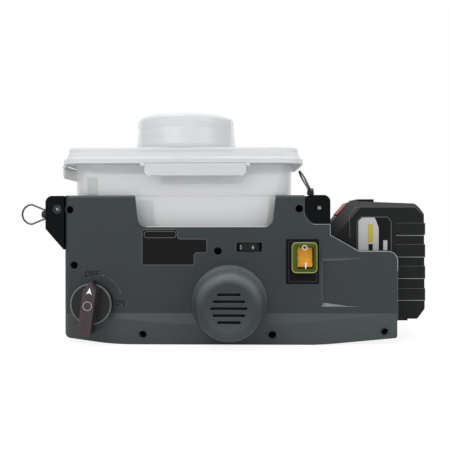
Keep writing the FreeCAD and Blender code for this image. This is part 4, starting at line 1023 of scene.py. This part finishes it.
@dataclass
class KnobDial(SubAssembly):
    """The raised words and arc round the pressure knob with painted highlights on them, a pale ring on
    its rim as a painted highlight, and the print on its pointer.
    """

    face: float = -65.0
    proud: float = 0.35
    middle: Pair = (-131.7, 39.0)
    words: tuple[tuple[str, Sides], ...] = (
        ("OFF", (-139.7, -126.0, 63.6, 69.6)), ("ON", (-109.6, -101.0, 36.0, 41.8)),
    )
    word_weight: float = 0.02
    edge_shift: float = 0.5
    edge_back: float = 0.1
    arc_radius: float = 28.2
    arc_line: float = 0.3
    arc_from: float = 74.0
    arc_to: float = 20.0
    arc_steps: int = 16
    arrowhead: Points = ((0.0, 0.0), (2.4, 1.2), (2.4, -1.2))
    rim: Points = ((19.7, -74.4), (19.1, -75.0), (18.3, -75.1), (17.8, -74.4))
    rim_steps: int = 64
    pointer_top: float = -89.0
    lean: float = 8.0
    outer: Points = ((-5.0, -26.8), (4.6, -26.8), (4.8, 13.6), (0.0, 21.6), (-4.8, 13.6))
    outer_line: Pair = (0.42, 1.0)
    inner: Points = ((-2.6, -26.0), (2.4, -26.0), (2.6, 11.6), (0.0, 16.6), (-2.6, 11.6))
    inner_line: Pair = (0.38, 0.8)
    line_thickness: float = PRINT * 1.5
    hub: Pair = (3.75, 4.2)
    dart: Points = ((0.0, 17.2), (-2.7, 10.6), (-1.1, 11.7), (0.0, 12.1), (1.1, 11.7), (2.7, 10.6))

    def build(self) -> None:
        """Places the words, the arc, the rim and the print."""
        x, z = self.middle
        self.put("knob_words", self._lettered(0.0, 0.0, self.word_weight), "relief_grey")
        # A lighter copy of the words, moved right and down: a painted highlight on their edges.
        edges = self._lettered(self.edge_shift, self.edge_back, 0.0)
        self.put("knob_word_edges", edges, "relief_light")
        # A pale ring that stands in for the highlight on the edge of the knob's disc.
        rim = Form.turned(self.rim, (x, 0.0, z), BACK, self.rim_steps)
        self.put("knob_rim_highlight", rim, "knob_rim_highlight", "valve_knob")
        # The raised arc takes the colour of the painted highlight.
        self.put("knob_arc", self._arc(), "relief_light")
        lines = self._line(self.outer, *self.outer_line).join(self._line(self.inner, *self.inner_line))
        self.put("pointer_lines", lines, "print_rose", "valve_knob")
        front = self.pointer_top - PRINT * 2
        hub = Form.ring(*self.hub, PRINT * 2, (x, front, z))
        self.put("pointer_hub_ring", hub, "print_ring", "valve_knob")
        dart = self._leaned(Form.outline(self.dart, front).thicken(PRINT * 2))
        self.put("pointer_dart", dart, "print_white", "valve_knob")

    def _lettered(self, shift: float, back: float, weight: float) -> Form:
        """The words round the knob.

        Args:
            shift: how far they move right and down.
            back: how far their fronts lie behind the raised words' fronts.
            weight: how much their strokes are thickened.

        Returns:
            The words.
        """
        form = Form()
        front = self.face - self.proud + back
        for word, (left, right, low, high) in self.words:
            least = (left + shift, front, low - shift)
            form.join(Form.lettering(word, least, (right + shift, self.face, high - shift), weight))
        return form

    def _leaned(self, form: Form) -> Form:
        """Brings a form drawn about the knob's axis to the leaning pointer."""
        form.move(Matrix.Rotation(math.radians(self.lean), 4, "Y"))
        return form.move(Matrix.Translation((self.middle[0], 0.0, self.middle[1])))

    def _line(self, points: Points, width: float, corner: float) -> Form:
        """A printed line of a width along a closed outline on the pointer."""
        flat = Form.outline(points, self.pointer_top - PRINT, corner).rim(width)
        return self._leaned(flat.thicken(self.line_thickness))

    def _on_arc(self, degrees: float, y: float) -> Point:
        """The point of the arc at an angle and a depth.

        Args:
            degrees: the angle from the right.
            y: the depth.

        Returns:
            The point.
        """
        angle = math.radians(degrees)
        x, z = self.middle
        return (x + self.arc_radius * math.cos(angle), y, z + self.arc_radius * math.sin(angle))

    def _arc(self) -> Form:
        """The raised arc with a small arrowhead at each end.

        Returns:
            The arc.
        """
        step = (self.arc_to - self.arc_from) / self.arc_steps
        angles = [self.arc_from + step * count for count in range(self.arc_steps + 1)]
        form = Form.wire([self._on_arc(angle, self.face) for angle in angles], self.arc_line)
        for angle, way in ((self.arc_from, 0.0), (self.arc_to, 180.0)):
            tip = Form.outline(self.arrowhead, self.face - self.proud).thicken(self.proud)
            tip.move(Matrix.Rotation(math.radians(way - angle + 90.0), 4, "Y"))
            form.join(tip.move(Matrix.Translation(self._on_arc(angle, 0.0))))
        return form


@dataclass
class SpeedMarks(SubAssembly):
    """The digits and the fine grip ribs round the speed dial's rim."""

    axis: Pair = (17.6, -51.4)
    radius: float = 15.0
    height: float = 92.4
    digit: Pair = (2.1, 3.5)
    digit_proud: float = 0.12
    digit_depth: float = 0.3
    digits: str = "12345678"
    digit_step: float = 45.7
    middle_digit: int = 5
    middle_angle: float = -32.2
    ribs: int = 60
    rib_radius: float = 0.16
    rib_sunk: float = 0.06
    rib_rise: float = 3.3

    def build(self) -> None:
        """Places the digits and the ribs."""
        x, y = self.axis
        wide, tall = self.digit
        front = y - self.radius - self.digit_proud
        least = (x - wide / 2, front, self.height - tall / 2)
        most = (x + wide / 2, front + self.digit_depth, self.height + tall / 2)
        digits = Form()
        for steps, digit in enumerate(self.digits, start=1 - self.middle_digit):
            angle = self.middle_angle + steps * self.digit_step
            digits.join(Form.lettering(digit, least, most).move(turn_about((x, y, 0.0), "Z", angle)))
        self.put("dial_digits", digits, "digit_grey", "speed_dial")
        reach = y - self.radius + self.rib_sunk
        ends = [(x, reach, self.height + rise) for rise in (-self.rib_rise, self.rib_rise)]
        ribs = Form.wire(ends, self.rib_radius)
        ribs.repeat(self.ribs, turn_about((x, y, 0.0), "Z", 360.0 / self.ribs))
        self.put("dial_ribs", ribs, "dial_plastic", "speed_dial", "dial_plastic")


@dataclass
class PowerSwitch(SubAssembly):
    """A black frame of painted shadow round the switch, a painted highlight along the bezel's edge, and a
    painted highlight round the front edge of its cover and the print on the cover.
    """

    # A black frame that stands in for the shadow in the gap round the bezel.
    shadow_frame: Band = Band((52.5, 83.7, 57.5, 99.9), -65.3, 0.8, 1.5, 0.3)
    # The painted highlight round the front edge of the switch's cover.
    bead: Band = Band((57.3, 81.3, 68.2, 97.1), -72.35, 4.2, 0.75, 0.6, 0.15)
    # A pale line along the bezel's front edge: a painted highlight.
    bezel: Band = Band((54.8, 81.5, 59.6, 97.8), -66.25, 0.8, 0.4, 0.1)
    boot_front: float = -72.2
    nought: Pair = (69.5, 92.1)
    nought_radii: Pair = (1.85, 2.45)
    stroke: Sides = (69.8, 71.0, 72.6, 78.0)

    def build(self) -> None:
        """Places the painted shadow, the painted highlights and the print."""
        # Painted shadow round the bezel.
        self.put("switch_painted_shadow", self.shadow_frame.form(), "switch_painted_shadow")
        # The pale band round the boot's front edge is a painted highlight.
        self.put("boot_edge_highlight", self.bead.form(), "boot_rim")
        x, z = self.nought
        front = self.boot_front - PRINT
        marks = Form.ring(*self.nought_radii, PRINT * 2, (x, front, z))
        left, right, low, high = self.stroke
        marks.join(Form.box((left, front, low), (right, front + PRINT * 2, high)))
        self.put("boot_marks", marks, "print_white")
        # The pale line along the bezel's edge is a painted highlight.
        self.put("bezel_edge", self.bezel.form(), "bezel_edge")


@dataclass
class BatteryDress(SubAssembly):
    """The bare label, and the raised frame and the ridge line in pale colours of painted highlight, and
    painted highlights along the grips, on both sides of the battery.
    """

    side: float = -38.5
    recess: Points = (
        (124.2, 60.0), (158.4, 60.0), (158.4, 117.2), (154.6, 121.6), (128.4, 121.6), (124.2, 117.2),
    )
    rib_width: float = 0.8
    rib_height: float = 0.35
    rib_corner: float = 1.0
    rib_ease: float = 0.1
    painted_light: Points = (
        (125.9, 61.0), (145.8, 61.0), (145.8, 111.0), (142.0, 120.8), (129.6, 120.8), (125.9, 117.0),
    )
    dark: Points = (
        (145.9, 61.0), (157.6, 61.0), (157.6, 117.0), (154.2, 120.8), (142.4, 120.8), (145.9, 111.2),
    )
    label_thickness: float = 0.12
    label_corner: float = 0.8
    patches: tuple[tuple[str, Sides, str], ...] = (
        ("patch", (135.1, 140.3, 96.3, 114.2), "sticker_yellow"),
        ("grey_patch", (135.8, 140.0, 88.0, 94.6), "sticker_black"),
        ("bar", (150.3, 154.3, 88.6, 98.2), "sticker_grey"),
    )
    patch_depths: Pair = (0.2, 0.1)
    ridge: Points = ((117.6, 100.0), (116.9, 122.4), (123.2, 131.0), (181.6, 131.0), (189.6, 123.6))
    ridge_radius: float = 0.4
    grip_side: float = -39.5
    grips: Points = ((102.9, 115.2), (81.7, 94.1), (60.5, 72.8), (39.0, 50.8))
    grip_ends: Pair = (163.2, 190.2)
    grip_return: float = 0.9
    grip_radii: Pair = (0.3, 0.22)

    def build(self) -> None:
        """Places the pieces of the front side, and the same pieces mirrored to the rear."""
        for side in ("front", "rear"):
            for name, form, finish in self._pieces():
                if side == "rear":
                    form.mirror()
                self.put(f"battery_{name}_{side}", form, finish, "battery")

    def _pieces(self) -> Iterator[tuple[str, Form, str]]:
        """The pieces of the front side, one after another.

        Returns:
            Each piece's name, form and finish.
        """
        y = self.side
        frame_line = Form.outline(self.recess, y - self.rib_height, self.rib_corner).rim(self.rib_width)
        # The raised frame in a pale finish: a painted highlight.
        yield "label_frame", frame_line.thicken(self.rib_height).ease(self.rib_ease), "battery_rib"
        for name, points, finish in (
            ("label_pale", self.painted_light, "sticker_grey"), ("label_dark", self.dark, "sticker_black"),
        ):
            flat = Form.outline(points, y - self.label_thickness, self.label_corner)
            yield name, flat.thicken(self.label_thickness), finish
        front, back = (y - depth for depth in self.patch_depths)
        for name, (left, right, low, high), finish in self.patches:
            yield name, Form.box((left, front, low), (right, back, high)), finish
        # The ridge: a pale line, a painted highlight on the edge of the side's bevel.
        yield "ridge", Form.wire([(x, y, z) for x, z in self.ridge], self.ridge_radius), "battery_rib"
        lows, highs = zip(*self.grips)
        low_radius, high_radius = self.grip_radii
        # The grips' edges: painted highlights, brightest on the lower edges, which face up.
        yield "grip_low_edges", self._grip_edges(lows, self.grip_return, low_radius), "edge_bright"
        yield "grip_high_edges", self._grip_edges(highs, -self.grip_return, high_radius), "battery_rib"

    def _grip_edges(self, heights: Sequence[float], turn_back: float, radius: float) -> Form:
        """Thin pale lines along the grips, each turned back at its left end: painted highlights.

        Args:
            heights: where the lines lie.
            turn_back: how far the left end rises.
            radius: the lines' radius.

        Returns:
            The lines.
        """
        left, right = self.grip_ends
        y = self.grip_side
        form = Form()
        for z in heights:
            form.join(Form.wire([(left, y, z + turn_back), (left, y, z), (right, y, z)], radius))
        return form


@dataclass(frozen=True)
class Thread:
    """A raised screw thread round one of the frame's directions."""

    foot: Point
    along: int
    radius: float
    pitch: float
    turns: float
    steps: int
    ridge: float

    def form(self) -> Form:
        """The thread, as a round wire along its course.

        Returns:
            The thread.
        """
        points = []
        for step in range(int(self.turns * self.steps)):
            angle = 2 * math.pi * step / self.steps
            course = [self.radius * math.cos(angle), self.radius * math.sin(angle)]
            course.insert(self.along, self.pitch * step / self.steps)
            points.append(tuple(start + part for start, part in zip(self.foot, course)))
        return Form.wire(points, self.ridge)


@dataclass
class LidDress(SubAssembly):
    """The neck's thread, and the raised borders of the three latches in a paler copy of their plastic as
    a painted highlight.
    """

    thread: Thread = Thread((-47.5, 0.0, 199.0), 2, 46.3, 4.0, 3.6, 40, 0.55)
    flap: Band = Band((-82.2, 14.2, 160.8, 170.0), -65.05, 4.6, 0.7, 0.4, 0.12, 5)
    flap_middle: Point = (-34.0, 0.0, 0.0)
    side_flap: Band = Band((-34.7, 34.7, 160.8, 170.0), -168.55, 4.6, 0.7, 0.4, 0.12, 5)
    middle: Point = (0.0, 0.0, 0.0)

    def build(self) -> None:
        """Places the thread and the borders."""
        self.put("neck_thread", self.thread.form(), "lid_plastic", "lid", "lid_plastic")
        for side, flap, pivot, angle in (
            ("front", self.flap, self.flap_middle, 0.0),
            ("rear", self.flap, self.flap_middle, 180.0),
            ("left", self.side_flap, self.middle, -90.0),
        ):
            border = flap.form().move(turn_about(pivot, "Z", angle))
            self.put(f"{side}_latch_border", border, "latch_edge", f"{side}_latch")


@dataclass
class StrapSwivels(SubAssembly):
    """The knurled sleeves of the two swivels."""

    feet: tuple[tuple[str, Point, Point], ...] = (
        ("left", (-180.6, -53.0, 124.0), (-1.0, 0.0, 0.0)),
        ("right", (77.0, -53.0, 142.7), (0.0, 0.0, 1.0)),
    )
    radius: float = 3.0
    length: float = 3.4
    flutes: int = 22
    flute_radius: float = 0.32

    def build(self) -> None:
        """Places the fine ridges in a ring about each swivel's axis."""
        for side, foot, axis in self.feet:
            ends = [(self.radius, 0.0, 0.0), (self.radius, 0.0, self.length)]
            ridges = Form.wire(ends, self.flute_radius)
            ridges.repeat(self.flutes, Matrix.Rotation(2 * math.pi / self.flutes, 4, "Z"))
            ridges.move(stood_on(foot, axis))
            self.put(f"{side}_swivel_knurl", ridges, "swivel_knurl", f"{side}_swivel")


@dataclass
class ShellLines(SubAssembly):
    """Painted highlights: thin pale lines round the screw holes, on the battery bay, the bracket's foot
    and the sills.
    """

    half_depth: float = 65.0
    boss_front: float = -70.0
    holes: Points = ((-154.3, 128.3), (-150.1, 75.1), (-12.3, 88.7), (65.1, 129.0))
    boss_holes: Points = ((-83.6, 9.6), (39.2, 9.6), (145.4, 12.4))
    hole_ring: Pair = (3.75, 4.15)
    ring_proud: float = 0.12
    ring_thickness: float = 0.22
    ring_steps: int = 32
    bead: float = 0.34
    fine_highlight: float = 0.238
    bay_edge: Points = (
        (78.0, 114.1), (94.2, 114.1), (94.4, 113.6), (94.4, 103.9), (121.9, 88.3), (149.5, 88.3),
        (152.6, 87.6), (155.4, 85.8), (157.2, 83.2), (158.0, 80.4), (158.1, 70.0),
    )
    rear_start: int = 3
    wall_edge: Points = ((158.1, 70.0), (158.1, 24.0), (157.9, 22.6))
    bay_sunk: float = 0.195
    foot_edge: Points = (
        (69.8, 141.0), (69.8, 126.0), (70.3, 122.0), (72.0, 118.4), (74.7, 115.5), (77.8, 114.2),
    )
    foot_sunk: float = 0.065
    sill: Points = (
        (-80.0, 111.9), (34.0, 111.9), (37.6, 112.5), (40.6, 114.4), (42.3, 117.2), (42.9, 120.0),
    )
    sill_sunk: float = 0.65

    def build(self) -> None:
        """Places the rings, the bay's edges and the highlights along the windows' sills."""
        rings = Form()
        for places, front in ((self.holes, -self.half_depth), (self.boss_holes, self.boss_front)):
            for x, z in places:
                middle = (x, front - self.ring_proud, z)
                rings.join(Form.ring(*self.hole_ring, self.ring_thickness, middle, self.ring_steps))
        self.put("screw_hole_rings", rings, "edge_light")
        wall = self._edge(self.wall_edge, -1, self.bay_sunk, self.fine_highlight)
        wall.join(self._edge(self.foot_edge, -1, self.foot_sunk, self.fine_highlight))
        self.put("bay_wall_edge", wall, "screw_ring")
        for name, side, start in (("front", -1, 0), ("rear", 1, self.rear_start)):
            bay = self._edge(self.bay_edge[start:], side, self.bay_sunk, self.bead)
            self.put(f"bay_edge_{name}", bay, "edge_bright")
            # The pale line along each window's sill is a painted highlight on the tank's lower edge.
            sill = self._edge(self.sill, side, self.sill_sunk, self.bead)
            self.put(f"window_sill_highlight_{name}", sill, "latch_edge")

    def _edge(self, points: Points, side: int, sunk: float, radius: float) -> Form:
        """A pale round line of painted highlight, sunk into the face of the front shell, side -1, or of
        the rear, side 1.
        """
        y = side * (self.half_depth - sunk)
        return Form.wire([(x, y, z) for x, z in points], radius)


@dataclass
class OutletThread(SubAssembly):
    """The thread on the paint outlet at the back."""

    thread: Thread = Thread((-112.0, 72.5, 39.2), 1, 6.35, 1.6, 7.0, 28, 0.4)

    def build(self) -> None:
        """Places the thread."""
        self.put("outlet_thread", self.thread.form(), "fitting_brass", "housing", "fitting_brass")


@dataclass
class BracketScrews(SubAssembly):
    """Painted highlights: bright crosses in the heads of the two bracket screws, and a pale ring round
    the left.
    """

    places: Points = ((-166.2, 128.8), (84.2, 129.7))
    arm: float = 1.55
    half_width: float = 0.4
    thickness: float = 0.1
    angles: Pair = (38.0, 128.0)
    ring: Pair = (3.45, 3.8)
    ring_steps: int = 40

    def build(self) -> None:
        """Places the crosses and the ring."""
        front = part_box("bracket_screws")[0][1] / MM - self.thickness
        crosses = Form()
        for x, z in self.places:
            low = (x - self.arm, front, z - self.half_width)
            high = (x + self.arm, front + self.thickness, z + self.half_width)
            for angle in self.angles:
                crosses.join(Form.box(low, high).move(turn_about((x, 0.0, z), "Y", angle)))
        self.put("bracket_screw_crosses", crosses, "screw_cross")
        x, z = self.places[0]
        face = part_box("left_strap_bracket")[0][1] / MM
        ring = Form.ring(*self.ring, PRINT * 2, (x, face - PRINT, z), self.ring_steps)
        self.put("bracket_screw_ring", ring, "screw_ring")


@dataclass
class ReturnHose(SubAssembly):
    """The soft hose end on the return tube, seen through the tank's left end."""

    axis: Pair = (-139.0, -34.0)
    top: float = 161.0
    overlap: float = 9.0
    wall: Pair = (4.1, 5.3)
    lip: float = 0.5
    steps: int = 40

    def build(self) -> None:
        """Places the hose end."""
        inner, outer = self.wall
        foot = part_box("return_tube")[1][2] / MM - self.overlap
        rise = self.top - foot
        profile = (
            (inner, 0.0), (outer - self.lip, 0.0), (outer, self.lip), (outer, rise - self.lip),
            (outer - self.lip, rise), (inner, rise),
        )
        hose = Form.turned(profile, (*self.axis, foot), UP, self.steps)
        self.put("return_hose", hose, "hose_plastic")


@dataclass
class ScoopLedges(SubAssembly):
    """The slanted ledges along the edges of the scoop beside the switch, front only, in lighter copies of
    the housing's plastic as painted light.
    """

    wall: float = -60.55
    front: float = -64.9
    span: Pair = (85.6, 124.5)
    thickness: float = 0.3
    low: Points = ((86.0, 36.1), (123.6, 36.1), (123.6, 36.4), (105.0, 38.5), (91.0, 39.4), (88.6, 39.2))
    low_foot: float = 36.05
    low_front_share: float = 0.02
    top: Points = ((85.8, 81.9), (88.2, 78.9), (104.0, 79.7), (123.8, 81.5), (123.8, 81.9))
    side: Points = ((85.7, 81.6), (85.7, 36.6), (88.3, 39.0), (87.9, 79.4))

    @property
    def slope(self) -> float:
        """How much nearer the scoop's wall comes for each millimetre to the right."""
        return (self.front - self.wall) / (self.span[1] - self.span[0])

    def build(self) -> None:
        """Places the low ledge, which thins towards the front, and the two on the slanted wall."""
        low = Form.outline(self.low, self.wall).thicken(self.front - self.wall)
        for vert in low.shape.verts:
            if vert.co.y < (self.wall + self.front) / 2:
                vert.co.z = self.low_foot + (vert.co.z - self.low_foot) * self.low_front_share
        bmesh.ops.recalc_face_normals(low.shape, faces=low.shape.faces[:])
        # The low ledge faces up, and its bright finish is a painted highlight.
        self.put("scoop_ledge_low", low, "ledge_painted_highlight")
        # The top ledge is brightened against the shade it lies in, and the side ledge is paled: painted
        # light.
        for name, points, finish in (
            ("top", self.top, "ledge_painted_lit"), ("side", self.side, "ledge_painted_pale"),
        ):
            ledge = Form.outline(points, -self.thickness).thicken(self.thickness)
            for vert in ledge.shape.verts:
                vert.co.y += self.wall + (vert.co.x - self.span[0]) * self.slope
            self.put(f"scoop_ledge_{name}", ledge, finish)


@dataclass(frozen=True)
class Lamp:
    """A lamp that looks at the object, in metres and watts."""

    name: str
    spread: Spread
    place: Point
    width: float
    power: float

    def build(self, target: Point) -> None:
        """Adds the lamp.

        Args:
            target: where it looks.
        """
        light = bpy.data.lights.new(self.name, "AREA")
        light.shape = "RECTANGLE"
        light.size = self.width
        light.size_y = self.width * self.spread.value
        light.energy = self.power
        lamp = bpy.data.objects.new(self.name, light)
        lamp.location = self.place
        aim = Vector(target) - Vector(self.place)
        lamp.rotation_euler = aim.to_track_quat("-Z", "Y").to_euler()
        bpy.context.scene.collection.objects.link(lamp)


@dataclass
class Studio:
    """The floor, the lamps and the pale surroundings."""

    lamps: tuple[Lamp, ...] = (
        Lamp("key", Spread.SOFT, (-0.6, -1.0, 1.1), 1.0, 9.0),
        Lamp("fill", Spread.SOFT, (1.1, -0.9, 0.8), 0.9, 5.0),
        Lamp("top", Spread.STRIP, (0.0, 0.2, 1.4), 1.1, 6.0),
    )
    target: Point = (0.0, 0.0, 0.1)
    daylight: Colour = (0.96, 0.98, 1.0)
    surround: float = 0.62
    floor_size: float = 60.0
    floor_colour: Colour = (0.95, 0.95, 0.95)
    floor_roughness: float = 0.8
    floor_shine: float = 0.1
    paper_glow: float = 1.1
    paper_share: float = 0.8

    def build(self) -> None:
        """Builds everything around the object."""
        self._world()
        self._floor()
        for lamp in self.lamps:
            lamp.build(self.target)

    def _world(self) -> None:
        """Soft light from everywhere, and white where the object is seen, mirrored or seen through."""
        world = bpy.data.worlds.new("surroundings")
        bpy.context.scene.world = world
        world.use_nodes = True
        world.node_tree.nodes.clear()
        nodes = Nodes(world.node_tree)
        seen = nodes.add("LightPath", out="Is Camera Ray")
        for kind in ("Is Glossy Ray", "Is Transmission Ray"):
            seen = seen.larger(nodes.add("LightPath", out=kind))
        light = {"Color": (*self.daylight, 1.0), "Strength": self.surround}
        soft = nodes.add("Background", inputs=light)
        white = nodes.add("Background", inputs={"Color": WHITE, "Strength": 1.0})
        mixed = nodes.add("MixShader", inputs={0: seen, 1: soft, 2: white})
        output = nodes.tree.nodes.new("ShaderNodeOutputWorld")
        nodes.tree.links.new(mixed.socket, output.inputs[0])

    def _floor(self) -> None:
        """A large pale floor under the object, close to white for the camera."""
        mesh = bpy.data.meshes.new("floor")
        shape = bmesh.new()
        bmesh.ops.create_grid(shape, x_segments=1, y_segments=1, size=self.floor_size / 2)
        shape.to_mesh(mesh)
        shape.free()
        floor = bpy.data.objects.new("floor", mesh)
        bpy.context.scene.collection.objects.link(floor)
        shader = Shader("floor_paper")
        shader.feed(
            Base_Color=self.floor_colour, Roughness=self.floor_roughness,
            Specular_IOR_Level=self.floor_shine,
        )
        lit = Signal(shader.tree, shader.base.outputs[0])
        glow = shader.add("Emission", inputs={"Color": WHITE, "Strength": self.paper_glow})
        share = shader.add("LightPath", out="Is Camera Ray") * self.paper_share
        mixed = shader.add("MixShader", inputs={0: share, 1: lit, 2: glow})
        shader.tree.links.new(mixed.socket, shader.output.inputs[0])
        mesh.materials.append(shader.material)
        floor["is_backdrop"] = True


@dataclass
class Viewpoint:
    """The photograph's camera, in metres, degrees and millimetres of lens and film."""

    place: Point = (7.5 * MM, -678.6 * MM, 114.1 * MM)
    turn: float = 1.212
    tip: float = -0.055
    roll: float = 0.056
    lens: float = 51.57
    film: float = 36.0

    def build(self) -> None:
        """Adds the camera and makes it the scene's own."""
        data = bpy.data.cameras.new("photograph")
        data.lens = self.lens
        data.sensor_width = self.film
        camera = bpy.data.objects.new("photograph", data)
        camera.location = self.place
        camera.rotation_euler = [math.radians(angle) for angle in (90.0 + self.tip, self.roll, self.turn)]
        bpy.context.scene.collection.objects.link(camera)
        bpy.context.scene.camera = camera


def main() -> None:
    """Builds the object's looks in order."""
    logging.basicConfig(level=logging.INFO, format="%(name)s: %(message)s")
    bpy.context.scene.view_settings.view_transform = "Standard"
    finishes = Finishes()
    finishes.dress_frame()
    for sub_assembly in (
        FrontSticker, KnobDial, SpeedMarks, PowerSwitch, BatteryDress, LidDress,
        StrapSwivels, ShellLines, OutletThread, BracketScrews, ReturnHose, ScoopLedges,
    ):
        sub_assembly(finishes).build()
    Studio().build()
    Viewpoint().build()


def write_sizes() -> None:
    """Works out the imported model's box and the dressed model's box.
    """
    boxes = {"cad": CAD_BOX, "visual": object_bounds()}
    plain = {name: [[float(v) for v in corner] for corner in box] for name, box in boxes.items()}


if __name__ == "__main__":
    main()
    write_sizes()
